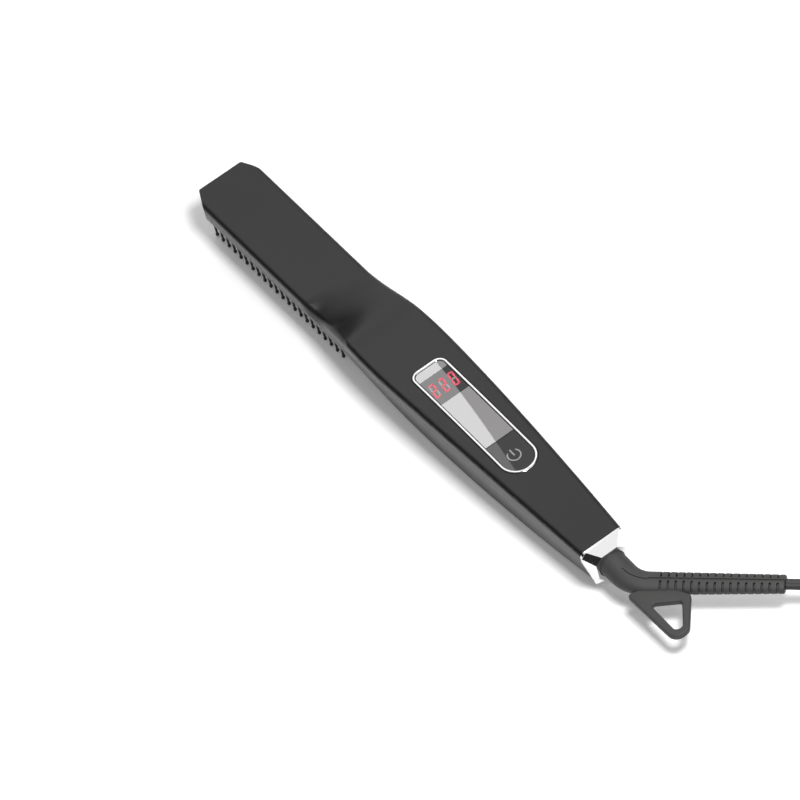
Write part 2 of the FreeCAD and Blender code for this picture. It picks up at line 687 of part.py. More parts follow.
def main_pcb():
    board = box(from_tip(PCB_START), from_tip(PCB_END), -PCB_HALF_WIDTH, PCB_HALF_WIDTH,
                PCB_BOTTOM_Z, PCB_TOP_Z)
    holes = [post(PCB_SCREW_RADIUS, from_tip(x), y, PCB_BOTTOM_Z - 1, PCB_TOP_Z + 1) for x, y in POST_PLACES]
    return board.cut(holes)


def pcb_screws():
    screws = []
    for x, y in POST_PLACES:
        head = six_sided(PCB_SCREW_HEAD_RADIUS, from_tip(x), y, PCB_BOTTOM_Z - PCB_SCREW_HEAD_HEIGHT, PCB_BOTTOM_Z)
        shank = six_sided(PCB_SCREW_RADIUS, from_tip(x), y, PCB_BOTTOM_Z, PCB_TOP_Z + PCB_SCREW_LENGTH - 0.3)
        screws.append(head.fuse(shank))
    return Part.makeCompound(screws)


def triac():
    """Three-legged power switch, laid against the underside of the board."""
    x = from_tip(PCB_START + TRIAC_AT)
    body = box(x, x + 9, -5, 5, PCB_BOTTOM_Z - 4.5, PCB_BOTTOM_Z)
    tab = box(x + 9, x + 15, -5, 5, PCB_BOTTOM_Z - 1.4, PCB_BOTTOM_Z)
    hole = post(1.8, x + 12, 0, PCB_BOTTOM_Z - 3, PCB_BOTTOM_Z + 1)
    legs = [box(x - 4, x, y - 0.4, y + 0.4, PCB_BOTTOM_Z - 1.6, PCB_BOTTOM_Z) for y in (-2.54, 0, 2.54)]
    return body.fuse([tab] + legs).cut(hole)


def capacitor():
    x = from_tip(PCB_START + CAPACITOR_AT)
    block = box(x, x + 13, -4, 4, PCB_BOTTOM_Z - 9.5, PCB_BOTTOM_Z)
    upright = [e for e in block.Edges if abs(e.Vertexes[0].Z - e.Vertexes[-1].Z) > 1]
    return block.makeFillet(1.0, upright)


# ---------------------------------------------------------------- screws and plugs
def housing_screws():
    screws = []
    for p in SCREW_PLACES:
        x, seat = from_tip(p[0]), screw_seat_z(p)
        head = post(PLUG_RADIUS - 0.2, x, p[1], seat - SCREW_HEAD_HEIGHT, seat)
        slot = box(x - 1.3, x + 1.3, p[1] - 0.35, p[1] + 0.35, seat - SCREW_HEAD_HEIGHT, seat - 0.8)
        cross = box(x - 0.35, x + 0.35, p[1] - 1.3, p[1] + 1.3, seat - SCREW_HEAD_HEIGHT, seat - 0.8)
        shank = six_sided(SCREW_RADIUS, x, p[1], seat, seat + SCREW_LENGTH)
        screws.append(head.fuse(shank).cut([slot, cross]))
    return Part.makeCompound(screws)


def screw_plugs():
    form_under = housing_solid()
    plugs = []
    for p in SCREW_PLACES:
        plug = post(PLUG_RADIUS - 0.05, from_tip(p[0]), p[1], bottom_z(p[0]) - 3,
                    bottom_z(p[0]) + PLUG_THICKNESS)
        plugs.append(plug.common(form_under))
    return Part.makeCompound(plugs)


# ---------------------------------------------------------------- tail and swivel
RING_END_X = from_tip(BODY_LENGTH)
FLANGE_START_X = BUSH_START_X - MOVING_GAP - SPOOL_FLANGE_THICKNESS


def tail_ring():
    """Chromed ring: the housing's end section drawn in to a facetted nozzle."""
    big = section(HOUSING_LENGTH, -0.25)
    half = RING_END_HALF
    low, high = AXIS_Z - half, AXIS_Z + half
    cut = half * 0.45
    nozzle = polygon([
        (RING_END_X, -half + cut, high), (RING_END_X, half - cut, high), (RING_END_X, half, high - cut),
        (RING_END_X, half, low + cut), (RING_END_X, half - cut, low), (RING_END_X, -half + cut, low),
        (RING_END_X, -half, low + cut), (RING_END_X, -half, high - cut),
    ])
    corner = TOP_EDGE_RADIUS + 0.25
    start_half = TAIL_HALF_WIDTH + 0.25
    start_high, start_low = TAIL_TOP_Z + 0.25, TAIL_BOTTOM_Z - 0.25
    start_land = TAIL_LAND + 0.25
    collar_end = TAIL_X + RING_COLLAR
    collar = Part.makeLoft([big, section(HOUSING_LENGTH, -0.25, at=HOUSING_LENGTH + RING_COLLAR)], True, True)
    mouth = polygon([
        (collar_end, -start_half + corner, start_high), (collar_end, start_half - corner, start_high),
        (collar_end, start_half, start_high - corner), (collar_end, start_half, seam_z(HOUSING_LENGTH)),
        (collar_end, start_land, start_low), (collar_end, -start_land, start_low),
        (collar_end, -start_half, seam_z(HOUSING_LENGTH)), (collar_end, -start_half, start_high - corner),
    ])
    cone = Part.makeLoft([mouth, nozzle], True, True).common(
        box(collar_end, RING_END_X, -30, 30, -10, 60))
    spigot = axial(RING_SPIGOT_RADIUS, BUSH_END_X, TAIL_X + 1)
    ring = collar.fuse([cone, spigot])
    return ring.cut(axial(NECK_WIDTH / 2 + NECK_GAP, BUSH_END_X - 1, RING_END_X + 1))


def swivel_bush():
    """Bearing for the spool, with the cage that holds the contact plate."""
    sleeve = axial(BUSH_RADIUS, CAGE_START_X, BUSH_END_X)
    room = axial(SPOOL_FLANGE_RADIUS + MOVING_GAP, CAGE_START_X - 1, BUSH_START_X)
    return sleeve.cut([room, axial(SPOOL_RADIUS + SWIVEL_FIT, BUSH_START_X - 1, BUSH_END_X + 1)])


NECK_START_X = BUSH_END_X + MOVING_GAP


def swivel_spool():
    flange = axial(SPOOL_FLANGE_RADIUS, FLANGE_START_X, FLANGE_START_X + SPOOL_FLANGE_THICKNESS)
    return axial(SPOOL_RADIUS, FLANGE_START_X + 1, NECK_START_X).fuse(flange)


def slip_rings():
    """Centre stud and outer ring on the end of the spool."""
    stud = axial(1.3, FLANGE_START_X - 1.6, FLANGE_START_X)
    ring = axial(5.8, FLANGE_START_X - 0.7, FLANGE_START_X).cut(axial(4.4, FLANGE_START_X - 2, FLANGE_START_X + 1))
    return Part.makeCompound([stud, ring])


def contact_plate():
    return axial(SPOOL_FLANGE_RADIUS + MOVING_GAP, CAGE_START_X, CAGE_START_X + CONTACT_PLATE_THICKNESS)


def contact_springs():
    """One leaf for the stud and one for the ring, each bowed off the contact plate."""
    x0 = CAGE_START_X + CONTACT_PLATE_THICKNESS
    leaves = []
    for y, reach in ((0.0, FLANGE_START_X - 1.6 - 0.3), (5.1, FLANGE_START_X - 0.7 - 0.3)):
        rise = reach - x0
        wire = polygon([
            (x0, y - 0.8, AXIS_Z - 4.0), (x0 + 0.3, y - 0.8, AXIS_Z - 4.0), (x0 + rise, y - 0.8, AXIS_Z - 0.4),
            (x0 + rise, y - 0.8, AXIS_Z + 1.0), (x0 + rise - 0.3, y - 0.8, AXIS_Z + 1.0),
            (x0 + rise - 0.3, y - 0.8, AXIS_Z - 0.3), (x0, y - 0.8, AXIS_Z - 3.6),
        ])
        leaves.append(Part.Face(wire).extrude(vector(0, 1.2, 0)))
    return Part.makeCompound(leaves)


ELBOW_X = RING_END_X + NECK_LENGTH
OUT = vector(math.cos(math.radians(ELBOW_ANGLE)), math.sin(math.radians(ELBOW_ANGLE)), 0)
SIDE = vector(-OUT.y, OUT.x, 0)
ELBOW = vector(ELBOW_X, 0, AXIS_Z)
SLEEVE_END = ELBOW + OUT * SLEEVE_LENGTH


def oval(centre, direction, width, height):
    """Level oval across a direction: two flats joined by half circles."""
    sideways = vector(-direction.y, direction.x, 0).normalize()
    across, out, up = sideways * ((width - height) / 2), sideways * (height / 2), vector(0, 0, height / 2)
    a, b = centre + across, centre - across
    return Part.Wire([
        Part.LineSegment(b + up, a + up).toShape(),
        Part.Arc(a + up, a + out, a - up).toShape(),
        Part.LineSegment(a - up, b - up).toShape(),
        Part.Arc(b - up, b - out, b + up).toShape(),
    ])


def flat_oval(centre, direction, width, height):
    """The same oval with its half circles drawn as three flats each."""
    sideways = vector(-direction.y, direction.x, 0).normalize()
    w, h = width / 2, height / 2
    quarter = [(w, h * 0.4), (w - h * 0.55, h)]
    outline = quarter + [(-a, b) for a, b in reversed(quarter)]
    outline += [(-a, -b) for a, b in outline]
    corners = [centre + sideways * a + vector(0, 0, b) for a, b in outline]
    return Part.makePolygon(corners + corners[:1])


def elbow_sections():
    """Ovals round the bend, evenly spaced along its arc."""
    turn = math.radians(ELBOW_ANGLE)
    radius = ELBOW_REACH / math.tan(turn / 2)
    start = ELBOW - vector(ELBOW_REACH, 0, 0)
    sections = []
    for i in range(ELBOW_STEPS + 1):
        share = i / ELBOW_STEPS
        angle = turn * share
        centre = start + vector(radius * math.sin(angle), radius * (1 - math.cos(angle)), 0)
        sections.append(oval(centre, vector(math.cos(angle), math.sin(angle), 0),
                             NECK_WIDTH + (SLEEVE_START_WIDTH - NECK_WIDTH) * share,
                             ELBOW_HEIGHT + (SLEEVE_START_HEIGHT - ELBOW_HEIGHT) * share))
    return sections


def rib_groove(along, side):
    """Cross groove in one side of the sleeve, from the spine round to the other face."""
    share = (along - ELBOW_REACH) / (SLEEVE_LENGTH - ELBOW_REACH)
    half_width = (SLEEVE_START_WIDTH + (SLEEVE_END_WIDTH - SLEEVE_START_WIDTH) * share) / 2
    half_height = (SLEEVE_START_HEIGHT + (SLEEVE_END_HEIGHT - SLEEVE_START_HEIGHT) * share) / 2
    floor, rim = half_height - RIB_DEPTH, half_height + 1
    outline = [
        (SPINE_HALF_WIDTH, rim), (SPINE_HALF_WIDTH, floor), (half_width - half_height, floor),
        (half_width - RIB_DEPTH, floor * 0.4), (half_width - RIB_DEPTH, -floor * 0.4),
        (half_width - half_height, -floor), (SPINE_HALF_WIDTH, -floor), (SPINE_HALF_WIDTH, -rim),
        (half_width + 1, -rim), (half_width + 1, rim),
    ]
    start = ELBOW + OUT * (along - RIB_GROOVE / 2)
    corners = [start + SIDE * (side * a) + vector(0, 0, b) for a, b in outline]
    return Part.Face(Part.makePolygon(corners + corners[:1])).extrude(OUT * RIB_GROOVE)


def strain_relief():
    """Neck, elbow and flattened sleeve with cross grooves each side of a spine."""
    bend = elbow_sections()
    neck = Part.makeLoft([oval(vector(NECK_START_X, 0, AXIS_Z), vector(1, 0, 0), NECK_WIDTH, NECK_HEIGHT),
                          oval(vector(RING_END_X, 0, AXIS_Z), vector(1, 0, 0), NECK_WIDTH, NECK_HEIGHT),
                          bend[0]], True, True)
    bevel = SLEEVE_END_BEVEL
    sleeve = Part.makeLoft([flat_oval(ELBOW + OUT * ELBOW_REACH, OUT, SLEEVE_START_WIDTH, SLEEVE_START_HEIGHT),
                            flat_oval(SLEEVE_END - OUT * bevel, OUT, SLEEVE_END_WIDTH, SLEEVE_END_HEIGHT),
                            flat_oval(SLEEVE_END, OUT, SLEEVE_END_WIDTH - 2 * bevel, SLEEVE_END_HEIGHT - bevel)],
                           True, True)
    core = neck.fuse([Part.makeLoft(bend, True, False), sleeve])
    return core.cut([rib_groove(RIB_START + i * RIB_PITCH, side) for i in range(RIB_COUNT) for side in (-1, 1)])


def hang_loop():
    """Flat triangular eye on the outside of the elbow, to hang the brush up by."""
    plate = prism(rounded_polygon([(RING_END_X + a, b) for a, b in LOOP_OUTLINE], LOOP_RADII),
                  AXIS_Z - LOOP_THICKNESS / 2, AXIS_Z + LOOP_THICKNESS / 2)
    hole = prism(rounded_polygon([(RING_END_X + a, b) for a, b in LOOP_HOLE], LOOP_HOLE_RADII),
                 AXIS_Z - LOOP_THICKNESS, AXIS_Z + LOOP_THICKNESS)
    return plate.cut([hole, relief])


# ---------------------------------------------------------------- cord
CORD_Z = CORD_THICKNESS / 2
LAYER = CORD_THICKNESS + 0.05
COIL_OUTER_RADIUS = COIL_MID_RADIUS + (COIL_COLUMNS - 1) / 2 * CORD_WIDTH
COIL_BASE_Z = TIE_THICKNESS
COIL_TOP_Z = COIL_BASE_Z + COIL_LAYERS * LAYER
RUN_TO_COIL = 47.5

# heights of the cord above the resting plane at distances from the sleeve's end
RUN_POINTS = [(MOVING_GAP, AXIS_Z), (12.0, AXIS_Z - 0.2), (23.0, 13.6), (34.0, 12.4),
              (RUN_TO_COIL, COIL_TOP_Z - LAYER / 2)]
COIL_ENTRY = SLEEVE_END + OUT * RUN_TO_COIL
COIL_CENTRE = vector(COIL_ENTRY.x, COIL_ENTRY.y, 0) - SIDE * COIL_OUTER_RADIUS


def rounded_path(points):
    """Straight runs joined by tangent arcs, each as large as its two runs allow."""
    edges, last = [], points[0]
    for i in range(1, len(points) - 1):
        before, corner, after = points[i - 1], points[i], points[i + 1]
        back, ahead = before - corner, after - corner
        half_turn = (math.pi - back.getAngle(ahead)) / 2
        reach = 0.45 * min(back.Length, ahead.Length)
        radius = reach / math.tan(half_turn)
        back.normalize()
        ahead.normalize()
        start, end = corner + back * reach, corner + ahead * reach
        bisector = (back + ahead).normalize()
        middle = corner + bisector * (radius / math.cos(half_turn) - radius)
        edges.append(Part.LineSegment(last, start).toShape())
        edges.append(Part.Arc(start, middle, end).toShape())
        print(f"cord bend radius {radius:.1f} mm")
        last = end
    edges.append(Part.LineSegment(last, points[-1]).toShape())
    return Part.Wire(edges)


def cord_section(centre, along, across):
    """Flat twin cord across its length, its round edges drawn as flats."""
    up = along.cross(across).normalize()
    wide, thick = CORD_WIDTH / 2, CORD_THICKNESS / 2
    quarter = [(wide, thick * 0.4), (wide - thick * 0.6, thick)]
    outline = quarter + [(-a, b) for a, b in reversed(quarter)]
    outline += [(-a, -b) for a, b in outline]
    corners = [centre + across * a + up * b for a, b in outline]
    return Part.makePolygon(corners + corners[:1])


def cord_tube(points, binormal):
    path = rounded_path(points)
    along = (points[1] - points[0]).normalize()
    across = binormal if abs(binormal.z) < 0.5 else vector(-along.y, along.x, 0).normalize()
    sweep = Part.BRepOffsetAPI.MakePipeShell(path)
    sweep.setBiNormalMode(binormal)
    sweep.add(cord_section(points[0], along, across))
    sweep.build()
    sweep.makeSolid()
    tube = sweep.shape()
    area = Part.Face(cord_section(points[0], along, across)).Area
    print(f"cord tube {tube.Volume:.1f} mm3 against {area * path.Length:.1f} mm3, {path.Length:.1f} mm long")
    return tube


def run_points():
    return [vector(SLEEVE_END.x, SLEEVE_END.y, 0) + OUT * t + vector(0, 0, z) for t, z in RUN_POINTS]


COIL_FIT = 0.1               # slack of the wound cord in its outer shape


def tie_box(grow):
    """Block round the coil's section where the tie goes, on the side away from the entry."""
    inner = COIL_MID_RADIUS - COIL_COLUMNS * CORD_WIDTH / 2 - COIL_FIT
    outer = COIL_MID_RADIUS + COIL_COLUMNS * CORD_WIDTH / 2 + COIL_FIT
    block = box(inner - grow, outer + grow, -TIE_WIDTH / 2, TIE_WIDTH / 2, COIL_BASE_Z - grow,
                COIL_TOP_Z + grow)
    block.rotate(vector(0, 0, 0), vector(0, 0, 1), TIE_ANGLE)
    block.translate(COIL_CENTRE)
    return block


def cord_coil():
    """Outer shape of the wound cord, notched where the tie goes round it."""
    inner = COIL_MID_RADIUS - COIL_COLUMNS * CORD_WIDTH / 2 - COIL_FIT
    outer = COIL_MID_RADIUS + COIL_COLUMNS * CORD_WIDTH / 2 + COIL_FIT
    ring = Part.makeCylinder(outer, COIL_TOP_Z, COIL_CENTRE)
    ring = ring.cut(Part.makeCylinder(inner, COIL_TOP_Z, COIL_CENTRE))
    return ring.cut(cord_tie())


def cord_tie():
    return tie_box(TIE_THICKNESS).cut(tie_box(0.0))


# the last stretch of cord, from the lowest turn of the coil to the plug beside it
TAIL_EXIT = COIL_CENTRE + vector(0, COIL_OUTER_RADIUS, COIL_BASE_Z + LAYER / 2)
PLUG_Z = PLUG_BODY_HEIGHT / 2
TAIL_POINTS = [(0.0, 0.0, 0.0), (9.0, 0.0, 0.0), (19.0, 1.5, 0.6), (28.5, 5.0, 1.0)]


def tail_points():
    lift = PLUG_Z - TAIL_EXIT.z
    return [TAIL_EXIT + vector(ahead, -across, lift * share) for ahead, across, share in TAIL_POINTS]


def plug_body(end, along):
    """Two-blade plug with its own short tapered relief."""
    across = vector(-along.y, along.x, 0)
    relief_length = 20.0
    nose_at = end + along * relief_length
    relief = Part.makeCone(3.6, 5.0, relief_length, end, along)
    half_w, half_h = PLUG_BODY_WIDTH / 2, PLUG_BODY_HEIGHT / 2

    def plate(at, w, h):
        corners = [(-w, -h), (w, -h), (w, h), (-w, h)]
        return Part.makePolygon([at + across * a + vector(0, 0, b) for a, b in corners + corners[:1]])

    body = Part.makeLoft([
        plate(nose_at - along * 1.0, half_w * 0.5, half_h * 0.75),
        plate(nose_at + along * 8.0, half_w * 0.95, half_h),
        plate(nose_at + along * PLUG_BODY_LENGTH, half_w, half_h),
    ], True, True)
    body = body.fuse(relief)
    return body, nose_at + along * PLUG_BODY_LENGTH


def plug_blades(face, along):
    across = vector(-along.y, along.x, 0)
    blades = []
    for side in (-1, 1):
        base = face + across * (side * BLADE_SPACING / 2 - BLADE_THICKNESS / 2) - vector(0, 0, BLADE_HEIGHT / 2)
        corners = [base, base + along * BLADE_LENGTH, base + along * BLADE_LENGTH + vector(0, 0, BLADE_HEIGHT),
                   base + vector(0, 0, BLADE_HEIGHT)]
        blade = Part.Face(Part.makePolygon(corners + corners[:1])).extrude(across * BLADE_THICKNESS)
        hole_at = base + along * (BLADE_LENGTH - 4.5) + vector(0, 0, BLADE_HEIGHT / 2) - across
        blades.append(blade.cut(Part.makeCylinder(1.6, BLADE_THICKNESS + 2, hole_at, across)))
    return Part.makeCompound(blades)


def wire_tube(points, radius):
    """Insulated lead along straight runs and arcs."""
    path = rounded_path(points)
    along = (points[1] - points[0]).normalize()
    across = vector(0, 1, 0)
    up = along.cross(across)
    corners = [points[0] + across * (radius * math.cos(math.radians(60 * i)))
               + up * (radius * math.sin(math.radians(60 * i))) for i in range(6)]
    sweep = Part.BRepOffsetAPI.MakePipeShell(path)
    sweep.setBiNormalMode(across)
    sweep.add(Part.makePolygon(corners + corners[:1]))
    sweep.build()
    sweep.makeSolid()
    return sweep.shape()


def heater_leads():
    """Two leads from the board down to the heating element."""
    leads = []
    for y in (-HEATER_LEAD_Y, HEATER_LEAD_Y):
        leads.append(wire_tube([
            vector(from_tip(PCB_START), y, PCB_BOTTOM_Z + LEAD_RADIUS),
            vector(from_tip(PCB_START - 16), y, PCB_BOTTOM_Z + LEAD_RADIUS),
            vector(from_tip(PCB_START - 38), y, PTC_TOP_Z - LEAD_RADIUS - LEAD_DROP),
            vector(HEATER_MIDDLE + PTC_LENGTH / 2, y, PTC_TOP_Z - LEAD_RADIUS - LEAD_DROP),
        ], LEAD_RADIUS))
    return Part.makeCompound(leads)


def supply_leads():
    """Two leads from the contact plate to the board."""
    leads = []
    for y in (-SUPPLY_LEAD_Y, SUPPLY_LEAD_Y):
        leads.append(wire_tube([
            vector(CAGE_START_X, y, AXIS_Z + SUPPLY_LEAD_RISE),
            vector(CAGE_START_X - LEAD_STRAIGHT, y, AXIS_Z + SUPPLY_LEAD_RISE),
            vector(from_tip(PCB_END) + LEAD_STRAIGHT, y, PCB_BOTTOM_Z + LEAD_RADIUS),
            vector(from_tip(PCB_END), y, PCB_BOTTOM_Z + LEAD_RADIUS),
        ], LEAD_RADIUS))
    return Part.makeCompound(leads)


# ---------------------------------------------------------------- build
relief = strain_relief()
run = cord_tube(run_points(), SIDE)
coil = cord_coil()
tail = cord_tube(tail_points(), vector(0, 0, 1))
plug_along = (tail_points()[-1] - tail_points()[-2])
plug_along.z = 0
plug_along.normalize()
plug, plug_face = plug_body(tail_points()[-1], plug_along)

NODES = {
    "back_shell": back_shell(),
    "front_shell": front_shell(),
    "display_frame": display_frame(),
    "display_window": display_window(),
    "display_module": box(from_tip(FRAME_START + 3), from_tip(FRAME_START + 3 + MODULE_LENGTH),
                          -MODULE_HALF_WIDTH, MODULE_HALF_WIDTH, PCB_TOP_Z, PCB_TOP_Z + MODULE_HEIGHT),
    "power_button": power_button(),
    "tact_switch": box(BUTTON_MIDDLE - SWITCH_SIDE / 2, BUTTON_MIDDLE + SWITCH_SIDE / 2, -SWITCH_SIDE / 2,
                       SWITCH_SIDE / 2, PCB_TOP_Z, SWITCH_TOP_Z).cut(
        post(PLUNGER_RADIUS + 0.1, BUTTON_MIDDLE, 0, SWITCH_TOP_Z - 1.2, SWITCH_TOP_Z + 1)),
    "switch_plunger": post(PLUNGER_RADIUS, BUTTON_MIDDLE, 0, SWITCH_TOP_Z - 1.2 + BUTTON_TRAVEL + 0.2,
                           SWITCH_TOP_Z + PLUNGER_HEIGHT),
    "main_pcb": main_pcb(),
    "pcb_screws": pcb_screws(),
    "triac": triac(),
    "capacitor": capacitor(),
    "comb_frame": comb_frame(),
    "ball_pins": ball_pins(),
    "heater_comb": heater_comb(),
    "ptc_heater": box(HEATER_MIDDLE - PTC_LENGTH / 2, HEATER_MIDDLE + PTC_LENGTH / 2, -PTC_HALF_WIDTH,
                      PTC_HALF_WIDTH, HEATER_TOP_Z, PTC_TOP_Z),
    "heater_clamp": heater_clamp(),
    "heat_shield": box(from_tip(WALL + SHIELD_MARGIN), from_tip(HEAD_STRAIGHT), -SHIELD_HALF_WIDTH,
                       SHIELD_HALF_WIDTH, SHIELD_Z, SHIELD_Z + SHIELD_THICKNESS),
    "thermal_fuse": axial(1.9, from_tip(88), from_tip(99), 8.6, HEATER_TOP_Z + 1.9),
    "thermistor": axial(1.1, from_tip(10), from_tip(15), 0.0, HEATER_TOP_Z + 1.1),
    "heater_leads": heater_leads(),
    "comb_release_tab": comb_release_tab(),
    "housing_screws": housing_screws(),
    "screw_plugs": screw_plugs(),
    "tail_ring": tail_ring(),
    "swivel_bush": swivel_bush(),
    "contact_plate": contact_plate(),
    "contact_springs": contact_springs(),
    "supply_leads": supply_leads(),
    "swivel_spool": swivel_spool(),
    "slip_rings": slip_rings(),
    "strain_relief": relief,
    "hang_loop": hang_loop(),
    "cord_run": run.cut(coil),
    "cord_coil": coil,
    "cord_tie": cord_tie(),
    "cord_tail": tail.cut(coil),
    "plug_body": plug,
    "plug_blades": plug_blades(plug_face, plug_along),
}

for node_name, node_shape in NODES.items():
    export(node_name, node_shape)
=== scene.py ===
import math

import bmesh
import bpy
from mathutils import Matrix, Vector


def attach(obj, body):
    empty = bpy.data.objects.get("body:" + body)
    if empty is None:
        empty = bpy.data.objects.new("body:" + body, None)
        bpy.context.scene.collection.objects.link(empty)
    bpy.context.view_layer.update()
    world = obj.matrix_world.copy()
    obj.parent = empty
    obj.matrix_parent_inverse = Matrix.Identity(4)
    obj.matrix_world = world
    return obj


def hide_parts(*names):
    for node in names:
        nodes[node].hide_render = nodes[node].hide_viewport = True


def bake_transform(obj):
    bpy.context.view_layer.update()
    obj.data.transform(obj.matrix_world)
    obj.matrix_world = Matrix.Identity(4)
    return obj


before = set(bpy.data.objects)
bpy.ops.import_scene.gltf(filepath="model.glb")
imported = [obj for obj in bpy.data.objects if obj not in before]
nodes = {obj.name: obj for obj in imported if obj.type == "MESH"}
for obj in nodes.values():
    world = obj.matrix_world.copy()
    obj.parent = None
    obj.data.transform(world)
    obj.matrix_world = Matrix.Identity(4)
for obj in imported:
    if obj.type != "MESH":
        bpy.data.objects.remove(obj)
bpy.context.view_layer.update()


# ---------------- display-side lid
# The shallow upper half of the housing, one dark grey nylon moulding with a fine spark-eroded
# grain. It carries the display and closes on the tub along a hairline seam.
class Link:
    """An output socket of a node. Arithmetic written on it becomes Math nodes."""

    def __init__(self, wiring, socket):
        self.wiring = wiring
        self.socket = socket

    def maths(self, operation, first, second):
        return self.wiring.node("ShaderNodeMath", {"operation": operation}, {0: first, 1: second})

    def __add__(self, other):
        return self.maths("ADD", self, other)

    def __radd__(self, other):
        return self.maths("ADD", other, self)

    def __sub__(self, other):
        return self.maths("SUBTRACT", self, other)

    def __rsub__(self, other):
        return self.maths("SUBTRACT", other, self)

    def __mul__(self, other):
        return self.maths("MULTIPLY", self, other)

    def __rmul__(self, other):
        return self.maths("MULTIPLY", other, self)

    def __gt__(self, other):
        return self.maths("GREATER_THAN", self, other)

    def __lt__(self, other):
        return self.maths("LESS_THAN", self, other)


class Wiring:
    """A node tree that nodes are added to one by one."""

    def __init__(self, tree):
        self.tree = tree

    def plug(self, socket, value):
        if isinstance(value, Link):
            self.tree.links.new(value.socket, socket)
        elif socket.type == "RGBA":
            socket.default_value = (*value, 1.0)
        else:
            socket.default_value = value

    def node(self, kind, settings, values, output=0):
        """Add a node: its settings and a ramp's stops first, then the values or links of its sockets."""
        made = self.tree.nodes.new(kind)
        for name, setting in settings.items():
            if name != "stops":
                setattr(made, name, setting)
        for i, (position, level) in enumerate(settings.get("stops", ())):
            stop = made.color_ramp.elements[i] if i < 2 else made.color_ramp.elements.new(position)
            stop.position = position
            stop.color = (level, level, level, 1)
        for name, value in values.items():
            self.plug(made.inputs[name], value)
        return Link(self, made.outputs[output])


class Finish(Wiring):
    """A material built round its Principled shader."""

    def __init__(self, name):
        self.material = bpy.data.materials.new(name)
        self.material.use_nodes = True
        super().__init__(self.material.node_tree)
        self.shader = self.tree.nodes["Principled BSDF"]

    def surface(self, values):
        for name, value in values.items():
            self.plug(self.shader.inputs[name], value)
        return self

    def place(self):
        return self.node("ShaderNodeTexCoord", {}, {}, "Object")

    def along(self, axis):
        return self.node("ShaderNodeSeparateXYZ", {}, {"Vector": self.place()}, axis)

    def noise(self, scale, detail):
        return self.node("ShaderNodeTexNoise", {}, {"Vector": self.place(), "Scale": scale, "Detail": detail})

    def mixed(self, share, first, second):
        """One colour turning into another as the share goes from 0 to 1."""
        return self.node("ShaderNodeMix", {"data_type": "RGBA"}, {0: share, 6: first, 7: second}, 2)

    def uneven(self, share, color, darkest, palest=1.0):
        """One colour varying between two shades of itself."""
        return self.mixed(share, [darkest * c for c in color], [palest * c for c in color])

    def relief(self, height, depth):
        return self.node("ShaderNodeBump", {}, {"Height": height, "Distance": depth, "Strength": 1.0})


PATCH_SCALE, GRAIN_SCALE = 45.0, 2600.0
GRAIN_DEPTH = 0.000004
PLASTIC_IOR = 1.48


def moulded(name, color, roughness, dent=None):
    """Moulded plastic: spark-eroded grain, with colour and gloss a little uneven from handling."""
    finish = Finish(name)
    patches = finish.noise(PATCH_SCALE, 3.0)
    grain = finish.noise(GRAIN_SCALE, 2.0)
    height = grain * GRAIN_DEPTH
    if dent:
        height = height - dent(finish)
    return finish.surface({
        "Base Color": finish.uneven(patches, color, 0.88, 1.12),
        "Roughness": (patches - 0.5) * 0.08 + (grain - 0.5) * 0.06 + roughness,
        "Normal": finish.relief(height, 1.0),
        "IOR": PLASTIC_IOR,
    })


def activate(piece):
    """Make one piece the only one selected."""
    if bpy.context.object and bpy.context.object.mode == "EDIT":
        bpy.ops.object.mode_set(mode="OBJECT")
    bpy.ops.object.select_all(action="DESELECT")
    piece.select_set(True)
    bpy.context.view_layer.objects.active = piece


def choose(piece, kind, test):
    """In edit mode, select only the VERT, EDGE or FACE parts whose middle passes the test."""
    if piece.mode == "OBJECT":
        activate(piece)
        bpy.ops.object.mode_set(mode="EDIT")
    bpy.ops.mesh.select_mode(type=kind)
    bpy.ops.mesh.select_all(action="DESELECT")
    form = bmesh.from_edit_mesh(piece.data)
    parts = {"VERT": form.verts, "EDGE": form.edges, "FACE": form.faces}[kind]
    for part in parts:
        if kind == "VERT":
            middle = part.co
        elif kind == "EDGE":
            middle = (part.verts[0].co + part.verts[1].co) / 2
        else:
            middle = part.calc_center_median()
        part.select_set(test(middle))
    form.select_flush_mode()
    bmesh.update_edit_mesh(piece.data)


def added(name, data):
    """A new object in the scene."""
    piece = bpy.data.objects.new(name, data)
    bpy.context.collection.objects.link(piece)
    return piece


MERGE_DISTANCE, FLAT_ANGLE = 0.000002, 0.4


def merged_copy(node_name, name):
    """A copy of a CAD node with its loose triangles merged, which then stands for the node."""
    piece = added(name, nodes[node_name].data.copy())
    activate(piece)
    bpy.ops.object.mode_set(mode="EDIT")
    bpy.ops.mesh.select_all(action="SELECT")
    bpy.ops.mesh.remove_doubles(threshold=MERGE_DISTANCE)
    bpy.ops.mesh.dissolve_limited(angle_limit=math.radians(FLAT_ANGLE))
    bpy.ops.object.mode_set(mode="OBJECT")
    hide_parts(node_name)
    return piece


SHARP = 28.0


def round_edges(piece, width, segments=2, sharp=SHARP):
    """Bevel the sharp edges of a piece, smooth it up to that angle, and keep its big faces flat."""
    activate(piece)
    edge_round = piece.modifiers.new("edge_round", "BEVEL")
    edge_round.width = width
    edge_round.segments = segments
    edge_round.limit_method = "ANGLE"
    edge_round.angle_limit = math.radians(sharp)
    bpy.ops.object.modifier_apply(modifier="edge_round")
    bpy.ops.object.shade_smooth_by_angle(angle=math.radians(sharp))
    flat_faces = piece.modifiers.new("flat_faces", "WEIGHTED_NORMAL")
    flat_faces.keep_sharp = True
    flat_faces.weight = 80
    bpy.ops.object.modifier_apply(modifier="flat_faces")


def dress(piece, finish, body="root"):
    """Give a piece its material and the body that it moves with."""
    piece.data.materials.clear()
    piece.data.materials.append(finish.material)
    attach(piece, body)


LID_GREY = (0.008, 0.008, 0.0082)
